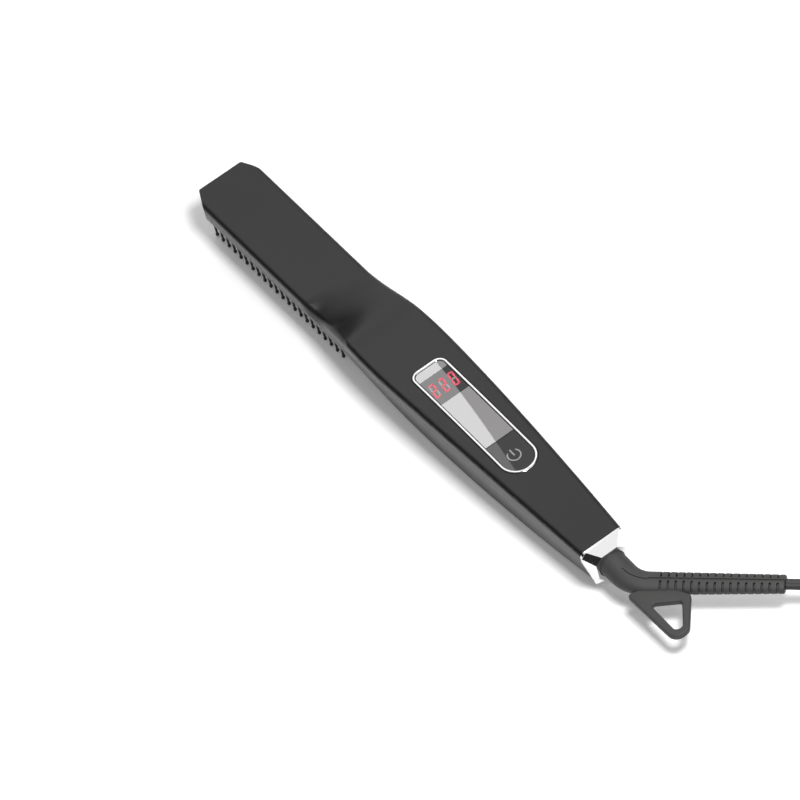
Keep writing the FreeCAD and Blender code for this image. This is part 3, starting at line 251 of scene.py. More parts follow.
# the thumb hollow sunk into the shoulder, deeper towards the housing's edge
HOLLOW_X, HOLLOW_HALF_LENGTH = -0.0405, 0.021
HOLLOW_START_Y, HOLLOW_REACH = 0.013, 0.025
HOLLOW_DEPTH = 0.0054


def thumb_hollow(finish):
    """Depth of the hollow: a smooth hump along the brush times a rise towards its edge."""
    off_middle = (finish.along("X") - HOLLOW_X) * (1 / HOLLOW_HALF_LENGTH)
    away = finish.node("ShaderNodeMath", {"operation": "ABSOLUTE"}, {0: off_middle})
    hump = finish.node("ShaderNodeMapRange", {"interpolation_type": "SMOOTHERSTEP"},
                       {"Value": away, "From Min": 1.0, "From Max": 0.0})
    rise = finish.node("ShaderNodeMath", {"operation": "MAXIMUM"},
                       {0: (HOLLOW_START_Y - finish.along("Y")) * (1 / HOLLOW_REACH), 1: 0.0})
    return hump * rise * rise * HOLLOW_DEPTH


# the top line of the lid: level head, a smooth rise over the shoulder, then a fall to the tail
TIP_X = -0.1435
HEAD_STRAIGHT, SHOULDER_END, FALL_START, HOUSING_LENGTH = 0.088, 0.130, 0.160, 0.2817
HEAD_TOP_Z, GRIP_TOP_Z, TAIL_TOP_Z = 0.026, 0.0317, 0.0262
TOP_EDGE_RADIUS = 0.0024
FALL_POWER = 1.75


def eased(share):
    """A share kept between 0 and 1, with a soft start and end."""
    share = min(max(share, 0.0), 1.0)
    return share * share * (3 - 2 * share)


def lid_top(x):
    """Height of the lid's top face at a place along the brush."""
    distance = x - TIP_X
    rise = eased((distance - HEAD_STRAIGHT) / (SHOULDER_END - HEAD_STRAIGHT))
    fall = max((distance - FALL_START) / (HOUSING_LENGTH - FALL_START), 0.0)
    return HEAD_TOP_Z + (GRIP_TOP_Z - HEAD_TOP_Z) * rise - (GRIP_TOP_Z - TAIL_TOP_Z) * fall ** FALL_POWER


def cut_strips(piece, start, pitch, count):
    """Cut a piece across its length into narrow strips, so that its top can follow a line."""
    activate(piece)
    bpy.ops.object.mode_set(mode="EDIT")
    for strip in range(count):
        bpy.ops.mesh.select_all(action="SELECT")
        bpy.ops.mesh.bisect(plane_co=(start + strip * pitch, 0, 0), plane_no=(1, 0, 0))
    bpy.ops.object.mode_set(mode="OBJECT")


SHOULDER_CUT, SHOULDER_STRIP, SHOULDER_STRIPS = TIP_X + HEAD_STRAIGHT - 0.0004, 0.0018, 25
LIFT_START, LIFT_END = TIP_X + HEAD_STRAIGHT - 0.001, TIP_X + SHOULDER_END + 0.005
ABOVE_LID_Z = 0.05
TOP_BAND = TOP_EDGE_RADIUS + 0.0001
SEAM_ROUND = 0.00012
# the shoulder is cut into strips, and the top of each is brought up to the smooth line
lid = merged_copy("back_shell", "display_side_lid")
cut_strips(lid, SHOULDER_CUT, SHOULDER_STRIP, SHOULDER_STRIPS)
lifts = []
for vertex in lid.data.vertices:
    x = vertex.co.x
    if LIFT_START < x < LIFT_END:
        top_here = lid.ray_cast(Vector((x, 0, ABOVE_LID_Z)), Vector((0, 0, -1)))[1].z
        if vertex.co.z > top_here - TOP_BAND:
            lifts.append((vertex.index, lid_top(x) - top_here))
for index, lift in lifts:
    lid.data.vertices[index].co.z += lift
round_edges(lid, SEAM_ROUND)
dress(lid, moulded("display_side_plastic", LID_GREY, 0.36, thumb_hollow))


# ---------------- bristle-side tub, tab and plugs
# The deep lower half, moulded in the same nylon, with the press tab that frees the comb and
# the three small plugs that are pushed in over the housing screws.
# the same nylon as the lid, yet a paler grey: painted light for the tub's sides, which catch the floor's light
TUB_PAINTED_PALER_GREY = (0.011, 0.011, 0.0113)
tub_painted_light_finish = moulded("bristle_side_plastic", TUB_PAINTED_PALER_GREY, 0.4)
tub = merged_copy("front_shell", "bristle_side_tub")
round_edges(tub, SEAM_ROUND)
dress(tub, tub_painted_light_finish)
release_tab = merged_copy("comb_release_tab", "release_tab_cap")
round_edges(release_tab, width=0.00025)
dress(release_tab, tub_painted_light_finish, "release_tab")
screw_caps = merged_copy("screw_plugs", "screw_caps")
round_edges(screw_caps, width=0.0002)
dress(screw_caps, tub_painted_light_finish)


# ---------------- guard comb
# Black heat-proof nylon: a bed with three long slots, and a row of slender ball-ended bristles
# all round it that keep the hot fins off the scalp. It lifts out as one piece.
RIM_Z = 0.0135
BED_Z = RIM_Z + 0.0004
BRISTLE_PITCH = 0.00458
BRISTLE_ROWS = 22
BRISTLE_Y = 0.0116
COMB_MIDDLE = TIP_X + 0.054
END_ROW_PITCH = BRISTLE_Y * 0.264
END_ROW_STEPS = 3
TOOTH_SIDES = 9
TOOTH_ROOT_Z = BED_Z + 0.0004
CUT_Z = BED_Z + 0.00002
BRISTLE_ROOT_RADIUS = 0.00105
# how far below the bed each ring of a bristle lies, and its radius
BRISTLE_RINGS = [(0.0006, 0.00082), (0.0022, 0.00066), (0.0112, 0.00052), (0.0121, 0.00058), (0.0125, 0.00078),
                 (0.01312, 0.00087), (0.01368, 0.00062), (0.01385, 0.0002)]


def smoothed(piece, angle):
    """Turn a piece's faces outwards and smooth it up to an angle."""
    activate(piece)
    bpy.ops.object.mode_set(mode="EDIT")
    bpy.ops.mesh.select_all(action="SELECT")
    bpy.ops.mesh.normals_make_consistent()
    bpy.ops.object.mode_set(mode="OBJECT")
    bpy.ops.object.shade_smooth_by_angle(angle=math.radians(angle))
    return piece


def tooth(name, x, y, root_radius, rings):
    """One round tooth drawn out downwards from its root in the bed, ring by ring."""
    bpy.ops.object.select_all(action="DESELECT")
    bpy.ops.mesh.primitive_circle_add(vertices=TOOTH_SIDES, radius=root_radius, location=(x, y, TOOTH_ROOT_Z))
    made = bpy.context.object
    made.name = name
    bpy.ops.object.transform_apply(location=True)
    bpy.ops.object.mode_set(mode="EDIT")
    bpy.ops.mesh.select_all(action="SELECT")
    height, radius = TOOTH_ROOT_Z, root_radius
    for below, ring_radius in rings:
        step = BED_Z - below - height
        bpy.ops.mesh.extrude_region_move(TRANSFORM_OT_translate={"value": (0, 0, step)})
        share = ring_radius / radius
        height += step
        bpy.ops.transform.resize(value=(share, share, 1), center_override=(x, y, height))
        radius = ring_radius
    bpy.ops.mesh.edge_face_add()
    return smoothed(made, 60)


def joined(first, others):
    """Join other pieces to the first one."""
    activate(first)
    for other in others:
        other.select_set(True)
    bpy.ops.object.join()
    return first


def repeated(first, moves):
    """Copies of a piece, each with its own mesh, at each of the moves, joined to it."""
    copies = []
    for move in moves:
        twin = first.copy()
        twin.data = first.data.copy()
        twin.data.transform(Matrix.Translation(move))
        bpy.context.collection.objects.link(twin)
        copies.append(twin)
    return joined(first, copies)


def row_x(index, count):
    """Place along the brush of one row of teeth."""
    return COMB_MIDDLE + (index - (count - 1) / 2) * BRISTLE_PITCH


bristle_places = [(row_x(i, BRISTLE_ROWS), side * BRISTLE_Y) for i in range(BRISTLE_ROWS) for side in (-1, 1)]
bristle_places += [(row_x(end, BRISTLE_ROWS), step * END_ROW_PITCH) for end in (0, BRISTLE_ROWS - 1)
                   for step in range(-END_ROW_STEPS, END_ROW_STEPS + 1) if end or step]
first_x, first_y = bristle_places[0]
bristles = tooth("bristles", first_x, first_y, BRISTLE_ROOT_RADIUS, BRISTLE_RINGS)
repeated(bristles, [(x - first_x, y - first_y, 0) for x, y in bristle_places[1:]])

# the bed keeps its CAD shape above the bristles, which are cut off and replaced
comb_bed = merged_copy("comb_frame", "guard_comb")
activate(comb_bed)
bpy.ops.object.mode_set(mode="EDIT")
bpy.ops.mesh.select_all(action="SELECT")
bpy.ops.mesh.bisect(plane_co=(0, 0, CUT_Z), plane_no=(0, 0, 1), clear_inner=True, use_fill=True)
bpy.ops.object.mode_set(mode="OBJECT")
round_edges(comb_bed, width=0.0002)
joined(comb_bed, [bristles])
dress(comb_bed, moulded("comb_plastic", (0.011, 0.011, 0.0115), 0.36))


# ---------------- ball pins
# Two columns of slim bright steel pins pressed into the bed between the slots. Their balls
# massage the scalp and reach a little less far than the bristles.
PIN_ROWS = 21
PIN_Y = BRISTLE_Y * 0.345
PIN_ROOT_RADIUS = 0.0007
PIN_RINGS = [(0.0006, 0.00066), (0.0011, 0.00052), (0.0108, 0.00048), (0.0114, 0.00074), (0.01205, 0.00094),
             (0.0127, 0.00072), (0.01303, 0.00024)]


def metal(name, color, roughness, streaks):
    """Plated or turned metal, its gloss broken by fine scratches."""
    finish = Finish(name)
    marks = finish.noise(700.0, 6.0)
    return finish.surface({
        "Base Color": finish.uneven(marks, color, 0.93),
        "Metallic": 1.0,
        "Roughness": (marks - 0.5) * streaks + roughness,
    })


pin_x = row_x(0, PIN_ROWS)
ball_pins = tooth("ball_tipped_pins", pin_x, -PIN_Y, PIN_ROOT_RADIUS, PIN_RINGS)
repeated(ball_pins, [(i * BRISTLE_PITCH, side, 0) for i in range(PIN_ROWS) for side in (0, 2 * PIN_Y) if i or side])
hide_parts("ball_pins")
dress(ball_pins, metal("pin_steel", (0.72, 0.72, 0.73), 0.16, 0.1))


# ---------------- heated fins
# A cast aluminium plate with sixty arched fins under a dark ceramic coat. It lies on the bed
# inside the tub, and its fins reach out through the three slots.
heated_fins = merged_copy("heater_comb", "heated_fins")
round_edges(heated_fins, width=0.00018)
coat = Finish("coated_aluminium")
speckle = coat.noise(1800.0, 3.0)
coat.surface({
    "Base Color": coat.mixed(speckle, (0.012, 0.012, 0.013), (0.026, 0.026, 0.028)),
    "Roughness": (speckle - 0.5) * 0.2 + 0.34,
    "Metallic": 0.35,
    "Normal": coat.relief(speckle, 0.000006),
})
dress(heated_fins, coat)


# ---------------- display bezel and window
# A polished chrome bezel let into the lid with fine black seals, round one grey acrylic window.
# The seals are dulled into painted shade for the gaps. A darker band of the window covers the readout.
LINE_STEP = 0.003
BEZEL_SINK = 0.00005
BEZEL_FLATNESS = 0.55
BEZEL_SEAL_RADIUS, WINDOW_SEAL_RADIUS = 0.00024, 0.00013
# the display's outline in millimetres, square with rounded corners ahead and round at the tail
BEZEL_START, BEZEL_END, BEZEL_HALF = 12.5, 88.5, 9.0
BEZEL_CORNER, BEZEL_END_RADIUS = 4.5, 8.95
BEZEL_WIDTH = 1.5
WINDOW_END, WINDOW_END_CORNER = 67.05, 0.3
MILLIMETRE = 0.001
CORNER_STEPS = 8
SEAM_GAP = 0.00001


def rounded_corners(outline):
    """Points round an outline given in millimetres as corners with their radii."""
    points = []
    for i, (x, y, radius) in enumerate(outline):
        corner = Vector((x, y))
        back = (Vector(outline[i - 1][:2]) - corner).normalized()
        ahead = (Vector(outline[(i + 1) % len(outline)][:2]) - corner).normalized()
        half = back.angle(ahead) / 2
        centre = corner + (back + ahead).normalized() * (radius / math.sin(half))
        first = corner + back * (radius / math.tan(half)) - centre
        last = corner + ahead * (radius / math.tan(half)) - centre
        for step in range(CORNER_STEPS + 1):
            swing = first.lerp(last, step / CORNER_STEPS).normalized() * radius
            points.append((centre + swing) * MILLIMETRE)
    return points


def closed_line(curve, points):
    """Add a closed line through the points to a curve."""
    line = curve.splines.new("POLY")
    line.points.add(len(points) - 1)
    for place, point in zip(line.points, points):
        place.co = (*point, 1)
    line.use_cyclic_u = True


def made_mesh(name, curve):
    """A mesh piece from a curve, its seams closed and its faces turned outwards."""
    activate(added(name, curve))
    bpy.ops.object.convert(target="MESH")
    piece = bpy.context.object
    bpy.ops.object.mode_set(mode="EDIT")
    bpy.ops.mesh.select_all(action="SELECT")
    bpy.ops.mesh.remove_doubles(threshold=SEAM_GAP)
    return smoothed(piece, 50)


def display_line(inset, end, end_radius):
    """Points on the lid's top round the display, a distance inside the bezel's outer edge."""
    outline = rounded_corners([
        (BEZEL_START + inset, -BEZEL_HALF + inset, BEZEL_CORNER - inset), (end, -BEZEL_HALF + inset, end_radius),
        (end, BEZEL_HALF - inset, end_radius), (BEZEL_START + inset, BEZEL_HALF - inset, BEZEL_CORNER - inset),
    ])
    line = []
    for i, point in enumerate(outline):
        after = outline[(i + 1) % len(outline)]
        pieces = max(round((after - point).length / LINE_STEP), 1)
        for k in range(pieces):
            x, y = point.lerp(after, k / pieces)
            line.append((x, y, lid_top(x) - BEZEL_SINK))
    return line


def flattened_tube(name, line, radius):
    """A tube along a closed line, flattened towards the lid's top."""
    curve = bpy.data.curves.new(name, "CURVE")
    curve.dimensions = "3D"
    closed_line(curve, line)
    curve.bevel_depth = radius
    curve.bevel_resolution = 4
    tube = made_mesh(name, curve)
    for vertex in tube.data.vertices:
        middle = lid_top(vertex.co.x) - BEZEL_SINK
        vertex.co.z = middle + (vertex.co.z - middle) * BEZEL_FLATNESS
    return tube


inner = BEZEL_WIDTH / 2
bezel_line = display_line(inner, BEZEL_END - inner, BEZEL_END_RADIUS - inner)
bezel = flattened_tube("display_bezel", bezel_line, inner * MILLIMETRE)
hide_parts("display_frame")
dress(bezel, metal("chrome_bezel", (0.86, 0.86, 0.87), 0.05, 0.03))

# fine black seals fill the gap outside the bezel and the one all round the window; near black
# and dull, they are painted shade for these gaps as well
seal_and_shade_finish = moulded("display_seal_and_painted_shade", (0.002, 0.002, 0.002), 0.7)
seal_and_shade_finish.surface({"Specular IOR Level": 0.1})
bezel_seal_shade = flattened_tube("bezel_seal_shade", display_line(0.0, BEZEL_END, BEZEL_END_RADIUS), BEZEL_SEAL_RADIUS)
dress(bezel_seal_shade, seal_and_shade_finish)
window_line = display_line(BEZEL_WIDTH, WINDOW_END, WINDOW_END_CORNER)
window_seal_shade = flattened_tube("window_seal_shade", window_line, WINDOW_SEAL_RADIUS)
dress(window_seal_shade, seal_and_shade_finish)

READOUT_START = TIP_X + 0.16255
READOUT_END = TIP_X + 0.1785
WINDOW_INSET = 0.0001
WINDOW_STRIP = 0.002
TOP_MARGIN = 0.0003
SLOPE_STEP = 0.001
UPWARD = 0.9


def level_top(piece, start, count):
    """Bring a glossy top face onto the lid's smooth line, so that it mirrors without a kink."""
    cut_strips(piece, start, WINDOW_STRIP, count)
    for vertex in piece.data.vertices:
        line = lid_top(vertex.co.x) - WINDOW_INSET
        if abs(vertex.co.z - line) < TOP_MARGIN:
            vertex.co.z = line
    bpy.ops.object.shade_smooth_by_angle(angle=math.radians(SHARP))
    normals = []
    for face in piece.data.polygons:
        for corner in face.vertices:
            x = piece.data.vertices[corner].co.x
            rise = lid_top(x + SLOPE_STEP / 2) - lid_top(x - SLOPE_STEP / 2)
            across_line = Vector((-rise, 0, SLOPE_STEP)).normalized()
            normals.append(across_line if face.normal.z > UPWARD else face.normal.copy())
    piece.data.normals_split_custom_set(normals)


window = merged_copy("display_window", "window")
level_top(window, start=0.015, count=26)
glazing = Finish("display_glazing")
readout_band = (glazing.along("X") > READOUT_START) * (glazing.along("X") < READOUT_END)
smears = glazing.noise(60.0, 4.0)
glazing.surface({
    "Base Color": glazing.mixed(readout_band, (0.18, 0.172, 0.175), (0.004, 0.0042, 0.0042)),
    "Roughness": smears * 0.012 + 0.002,
    "IOR": 1.62,
    "Coat Weight": 1 - readout_band,
    "Coat Roughness": 0.005,
    "Coat IOR": 1.6,
})
dress(window, glazing)


# ---------------- readout
# Three seven-segment figures of a light module, red where they are lit. Each segment is a slim
# bar that narrows to its ends, and the figures lean towards the way that they are read.
DIGIT_MIDDLES = (-0.0050, 0.0, 0.0050)
DIGIT_HEIGHT = 0.0082
DIGIT_WIDTH = 0.003
DIGIT_LEAN = 0.12
DIGIT_CENTRE_X = TIP_X + 0.1704
DROP_Z = 0.034  # inlays are made at this height and dropped onto the display
STROKE = 0.00092
SEGMENTS_LIT = ("abged", "abged", "abcdef")
# each segment's middle, across and down the figure in shares of its width and height, and
# whether it lies across the figure
SEGMENTS = {"a": (0.0, -0.5, True), "g": (0.0, 0.0, True), "d": (0.0, 0.5, True), "b": (0.5, -0.25, False),
            "c": (0.5, 0.25, False), "e": (-0.5, 0.25, False), "f": (-0.5, -0.25, False)}


def segment_bar(name, length):
    """A flat bar along Y that narrows to its ends: a six-sided disc drawn out both ways."""
    bpy.ops.object.select_all(action="DESELECT")
    bpy.ops.mesh.primitive_circle_add(vertices=6, radius=STROKE / math.sqrt(3), fill_type="NGON",
                                      rotation=(0, 0, math.pi / 2))
    bar = bpy.context.object
    bar.name = name
    bpy.ops.object.transform_apply(rotation=True)
    reach = (length - STROKE) / 2
    for side in (-1, 1):
        choose(bar, "VERT", lambda middle: middle.y * side > STROKE / 8)
        bpy.ops.transform.translate(value=(0, side * reach, 0))
    bpy.ops.object.mode_set(mode="OBJECT")
    return bar


def laid_on(piece, surface):
    """Drop a flat inlay onto the surface under it, a hair proud of it."""
    activate(piece)
    drop = piece.modifiers.new("drop", "SHRINKWRAP")
    drop.target = surface
    drop.wrap_method = "PROJECT"
    drop.use_project_z = True
    drop.use_negative_direction = True
    drop.offset = 0.00003
    bpy.ops.object.modifier_apply(modifier="drop")
    return piece


def readout(name, lit):
    """All lit, or all unlit, segments of the three figures as one inlay."""
    lean = Matrix.Identity(4)
    lean[1][0] = -DIGIT_LEAN
    bars = []
    for middle_y, on in zip(DIGIT_MIDDLES, SEGMENTS_LIT):
        for key, (across, down, level) in SEGMENTS.items():
            if (key in on) != lit:
                continue
            bar = segment_bar(name, DIGIT_WIDTH if level else DIGIT_HEIGHT / 2)
            if not level:
                bar.data.transform(Matrix.Rotation(math.pi / 2, 4, "Z"))
            middle = (down * (DIGIT_HEIGHT - STROKE), across * (DIGIT_WIDTH - STROKE), 0)
            bar.data.transform(Matrix.Translation(middle))
            bar.data.transform(Matrix.Translation((DIGIT_CENTRE_X, middle_y, DROP_Z)) @ lean)
            bars.append(bar)
    return laid_on(joined(bars[0], bars[1:]), window)


def lit_finish(name, color, glow):
    """A smooth print or lens that shines by itself, a little uneven all over; on unlit segments and on print this
    shine is a painted glow.
    """
    finish = Finish(name)
    cells = finish.noise(900.0, 2.0)
    return finish.surface({
        "Base Color": finish.uneven(cells, color, 0.9),
        "Emission Color": finish.uneven(cells, color, 0.9),
        "Emission Strength": glow,
        "Roughness": cells * 0.04 + 0.03,
        "IOR": 1.5,
    })


lit_segments = readout("lit_segments", True)
dress(lit_segments, lit_finish("lit_red", (0.36, 0.014, 0.04), 1.0))
# the unlit segments shine faintly too: a painted glow that makes them pale
unlit_segments = readout("unlit_segments", False)
dress(unlit_segments, lit_finish("unlit_painted_glow", (0.2, 0.19, 0.19), 0.25))


# ---------------- power button
# The rounded tail end of the display is a glossy dark cap, the only control. It sinks half a
# millimetre, and its symbol is printed in pale grey, made paler by a faint painted glow.
SYMBOL_X, SYMBOL_Y = TIP_X + 0.2214, -0.0004
SYMBOL_RADIUS = 0.0029
SYMBOL_STROKE = 0.0006
SYMBOL_BAR = 0.0037
SYMBOL_OPENING = math.radians(76)
button_cap = merged_copy("power_button", "button_cap")
level_top(button_cap, start=0.069, count=9)
button_finish = Finish("button_plastic")
haze = button_finish.noise(80.0, 4.0)
button_finish.surface({
    "Base Color": button_finish.mixed(haze, (0.028, 0.028, 0.029), (0.034, 0.034, 0.035)),
    "Roughness": haze * 0.012 + 0.002,
    "IOR": 1.385,
})
dress(button_cap, button_finish, "button")


def stroke_start(x, y):
    """A small square over the button, which a stroke is drawn out from."""
    bpy.ops.object.select_all(action="DESELECT")
    bpy.ops.mesh.primitive_plane_add(size=SYMBOL_STROKE, location=(x, y, DROP_Z))
    bpy.ops.object.transform_apply(location=True)
    return bpy.context.object


symbol = stroke_start(SYMBOL_X, SYMBOL_Y)
symbol.name = "power_symbol"
choose(symbol, "EDGE", lambda middle: middle.x < SYMBOL_X - SYMBOL_STROKE / 4)
bpy.ops.transform.translate(value=(SYMBOL_STROKE - SYMBOL_BAR, 0, 0))
bpy.ops.object.mode_set(mode="OBJECT")
arc = stroke_start(SYMBOL_X - SYMBOL_RADIUS, SYMBOL_Y)
arc.data.transform(Matrix.Translation((SYMBOL_X, SYMBOL_Y, 0)) @ Matrix.Rotation(SYMBOL_OPENING / 2, 4, "Z")
                   @ Matrix.Translation((-SYMBOL_X, -SYMBOL_Y, 0)))
opening_end = Vector((-math.cos(SYMBOL_OPENING / 2), -math.sin(SYMBOL_OPENING / 2), 0))
edge_way = Vector((math.sin(SYMBOL_OPENING / 2), -math.cos(SYMBOL_OPENING / 2), 0))
spot = Vector((SYMBOL_X, SYMBOL_Y, 0)) + opening_end * SYMBOL_RADIUS
choose(arc, "EDGE", lambda middle: (middle - spot).dot(edge_way) < -SYMBOL_STROKE / 4)
bpy.ops.mesh.spin(steps=28, angle=SYMBOL_OPENING - math.tau, center=(SYMBOL_X, SYMBOL_Y, DROP_Z), axis=(0, 0, 1))
bpy.ops.object.mode_set(mode="OBJECT")
laid_on(joined(symbol, [arc]), button_cap)
# the print shines a little by itself: a painted glow
dress(symbol, lit_finish("symbol_print_painted_glow", (0.28, 0.28, 0.28), 0.05), "button")


# ---------------- tail ring
# A polished chrome collar that closes the housing, drawn in by flat facets to the mouth that
# the neck turns in.
FACET_SIDE_Y = 0.0072
FACET_LOW_Z, FACET_MARGIN = (0.0238, 0.01958), 0.0001
FACET_LIFT = 0.0005
tail_collar = merged_copy("tail_ring", "tail_collar")
# the lower edge of each upper corner facet is lifted, so that the facets face a little higher
choose(tail_collar, "VERT", lambda middle: abs(middle.y) > FACET_SIDE_Y
       and min(abs(middle.z - z) for z in FACET_LOW_Z) < FACET_MARGIN)
bpy.ops.transform.translate(value=(0, 0, FACET_LIFT))
bpy.ops.object.mode_set(mode="OBJECT")
round_edges(tail_collar, width=0.00016)
dress(tail_collar, metal("chrome_ring", (0.88, 0.88, 0.89), 0.05, 0.03))


# ---------------- strain relief
# One soft grey rubber moulding turning in the ring: a neck, a bend and a flattened sleeve,
# notched sixteen times on each side of a spine so that it bends with the cord.
AXIS_Z = 0.0154
NECK_START = Vector((0.1365, 0, AXIS_Z))
RING_MOUTH_X = 0.1435
BEND_START_X = 0.1517
BEND_CENTRE = Vector((BEND_START_X, 0.01557, AXIS_Z))
BEND_STEPS = 7
ELBOW = Vector((0.1582, 0, AXIS_Z))
ELBOW_REACH = 0.0065
ELBOW_ANGLE = math.radians(45.3)
SLEEVE_LENGTH = 0.0652
cord_out = Vector((math.cos(ELBOW_ANGLE), math.sin(ELBOW_ANGLE), 0))
cord_side = Vector((-cord_out.y, cord_out.x, 0))
SLEEVE_END = ELBOW + cord_out * SLEEVE_LENGTH
# width and height of the section at the mouth, at each end of the bend and at the sleeve's end
NECK_SECTION = (0.0126, 0.0123)
BEND_SECTION = (0.0126, 0.0094)
SLEEVE_SECTION = (0.0114, 0.0072)
END_SECTION = (0.0093, 0.0056)
SPINE_HALF = 0.0017
GROOVE_HALF = 0.0006
NOTCH_START, NOTCH_PITCH, NOTCH_COUNT = 0.0123, 0.00333, 16
NOTCH_HALF = 0.00045
NOTCH_DEPTH = 0.0018
NOTCH_INNER, NOTCH_MARGIN = 0.0012, 0.00015
GROOVE_DEPTH = 0.0006
GROOVE_MARGIN = 0.0012
# the neck narrows this far behind the mouth, by this share of all it narrows before the bend
MOUTH_REACH, MOUTH_SHARE = 0.004, 0.45
# rings that round the sleeve's end: the distance before it, and how much narrower each is
END_RINGS = [(0.0009, 0.0), (0.000315, 0.00028), (0.0, 0.0011)]
RUBBER_GREY = (0.042, 0.0415, 0.041)


def rubber(name, color, roughness=0.62):
    """Soft moulded rubber: dull, with a faint bloom and a few shiny rubs."""
    finish = Finish(name)
    bloom = finish.noise(90.0, 4.0)
    grain = finish.noise(3200.0, 2.0)
    return finish.surface({
        "Base Color": finish.uneven(bloom, color, 0.86, 1.14),
        "Roughness": (bloom - 0.5) * 0.16 + roughness,
        "Normal": finish.relief(grain, GRAIN_DEPTH),
    })


def fit_ring(centre, angle, wide, high):
    """Scale the end face across its way and upwards, about its middle."""
    along = (math.cos(angle), math.sin(angle), 0)
    across = (-math.sin(angle), math.cos(angle), 0)
    bpy.ops.transform.resize(value=(1, wide, high), orient_type="GLOBAL", orient_matrix_type="GLOBAL",
                             orient_matrix=(along, across, (0, 0, 1)), center_override=centre)


def next_ring(step, centre, angle=0.0, wide=1.0, high=1.0):
    """Draw the end face on by a step, then fit it to its place."""
    bpy.ops.mesh.extrude_region_move(TRANSFORM_OT_translate={"value": step})
    fit_ring(centre, angle, wide, high)


bpy.ops.object.select_all(action="DESELECT")
bpy.ops.mesh.primitive_circle_add(vertices=36, radius=NECK_SECTION[1] / 2, fill_type="NGON", location=NECK_START,
                                  rotation=(0, math.pi / 2, 0))
relief = bpy.context.object
relief.name = "strain_relief_moulding"
bpy.ops.object.transform_apply(location=True, rotation=True)
bpy.ops.object.mode_set(mode="EDIT")
for cut in (-SPINE_HALF, -GROOVE_HALF, GROOVE_HALF, SPINE_HALF):
    bpy.ops.mesh.select_all(action="SELECT")
    bpy.ops.mesh.bisect(plane_co=(0, cut, 0), plane_no=(0, 1, 0))
bpy.ops.mesh.select_all(action="SELECT")
bpy.ops.transform.resize(value=(1, NECK_SECTION[0] / NECK_SECTION[1], 1), center_override=NECK_START)
neck_share = BEND_SECTION[1] / NECK_SECTION[1]
mouth_share = neck_share ** MOUTH_SHARE
next_ring((RING_MOUTH_X - NECK_START.x, 0, 0), NECK_START)
next_ring((MOUTH_REACH, 0, 0), NECK_START, high=mouth_share)
next_ring((BEND_START_X - RING_MOUTH_X - MOUTH_REACH, 0, 0), NECK_START, high=neck_share / mouth_share)
bend_radius = BEND_CENTRE.y
wide_step = (SLEEVE_SECTION[0] / BEND_SECTION[0]) ** (1 / BEND_STEPS)
high_step = (SLEEVE_SECTION[1] / BEND_SECTION[1]) ** (1 / BEND_STEPS)
for turn in range(1, BEND_STEPS + 1):
    angle = ELBOW_ANGLE * turn / BEND_STEPS
    middle = BEND_CENTRE + Vector((math.sin(angle), -math.cos(angle), 0)) * bend_radius
    bpy.ops.mesh.extrude_region_move(TRANSFORM_OT_translate={"value": (0, 0, 0)})
    bpy.ops.transform.rotate(value=-ELBOW_ANGLE / BEND_STEPS, orient_axis="Z", center_override=BEND_CENTRE)
    fit_ring(middle, angle, wide_step, high_step)


def sleeve_size(along, narrower=0.0):
    """Width and height of the sleeve at a distance from the elbow."""
    share = (along - ELBOW_REACH) / (SLEEVE_LENGTH - ELBOW_REACH)
    wide = SLEEVE_SECTION[0] + (END_SECTION[0] - SLEEVE_SECTION[0]) * share - narrower
    high = SLEEVE_SECTION[1] + (END_SECTION[1] - SLEEVE_SECTION[1]) * share - narrower
    return wide, high


stations = []
for i in range(NOTCH_COUNT):
    notch = NOTCH_START + i * NOTCH_PITCH
    stations += [(notch - NOTCH_HALF, 0.0), (notch + NOTCH_HALF, 0.0)]
stations += [(SLEEVE_LENGTH - before, narrower) for before, narrower in END_RINGS]
at, size_here = ELBOW_REACH, SLEEVE_SECTION
for along, narrower in stations:
    wide, high = sleeve_size(along, narrower)
    next_ring(cord_out * (along - at), ELBOW + cord_out * along, ELBOW_ANGLE, wide / size_here[0],
              high / size_here[1])
    at, size_here = along, (wide, high)
bpy.ops.mesh.select_all(action="SELECT")
bpy.ops.mesh.normals_make_consistent()


def in_notch(middle):
    """Whether a face lies in one of the notches, beside the spine."""
    along = (middle - ELBOW).dot(cord_out)
    side = abs((middle - ELBOW).dot(cord_side))
    nearest = round((along - NOTCH_START) / NOTCH_PITCH)
    off_middle = abs(along - NOTCH_START - nearest * NOTCH_PITCH)
    beside_spine = NOTCH_INNER < side < sleeve_size(along)[0] / 2 - NOTCH_MARGIN
    return 0 <= nearest < NOTCH_COUNT and off_middle < NOTCH_HALF / 2 and beside_spine


def in_groove(middle):
    """Whether a face lies on the middle strip of the top or the bottom, behind the ring."""
    if (middle - ELBOW).dot(cord_out) > ELBOW_REACH:
        side = (middle - ELBOW).dot(cord_side)
    elif middle.x > BEND_START_X:
        side = (middle - BEND_CENTRE).xy.length - bend_radius
    else:
        side = middle.y
    behind_mouth = middle.x > RING_MOUTH_X + MOUTH_REACH
    return abs(side) < GROOVE_HALF / 2 and behind_mouth and abs(middle.z - AXIS_Z) > GROOVE_MARGIN


choose(relief, "FACE", in_notch)
bpy.ops.mesh.extrude_region_shrink_fatten(TRANSFORM_OT_shrink_fatten={"value": -NOTCH_DEPTH})
choose(relief, "FACE", in_groove)
bpy.ops.mesh.extrude_region_shrink_fatten(TRANSFORM_OT_shrink_fatten={"value": -GROOVE_DEPTH})
bpy.ops.object.mode_set(mode="OBJECT")
round_edges(relief, width=0.00012, sharp=34.0)
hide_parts("strain_relief")
rubber_finish = rubber("cord_rubber", RUBBER_GREY)
dress(relief, rubber_finish, "swivel")


# ---------------- hanging loop
# A flat three-cornered eye on the outside of the bend, moulded with the strain relief, its
# edges well rounded so that it hangs on a hook.
LOOP_THICKNESS = 0.003
LOOP_ROUND = 0.0008
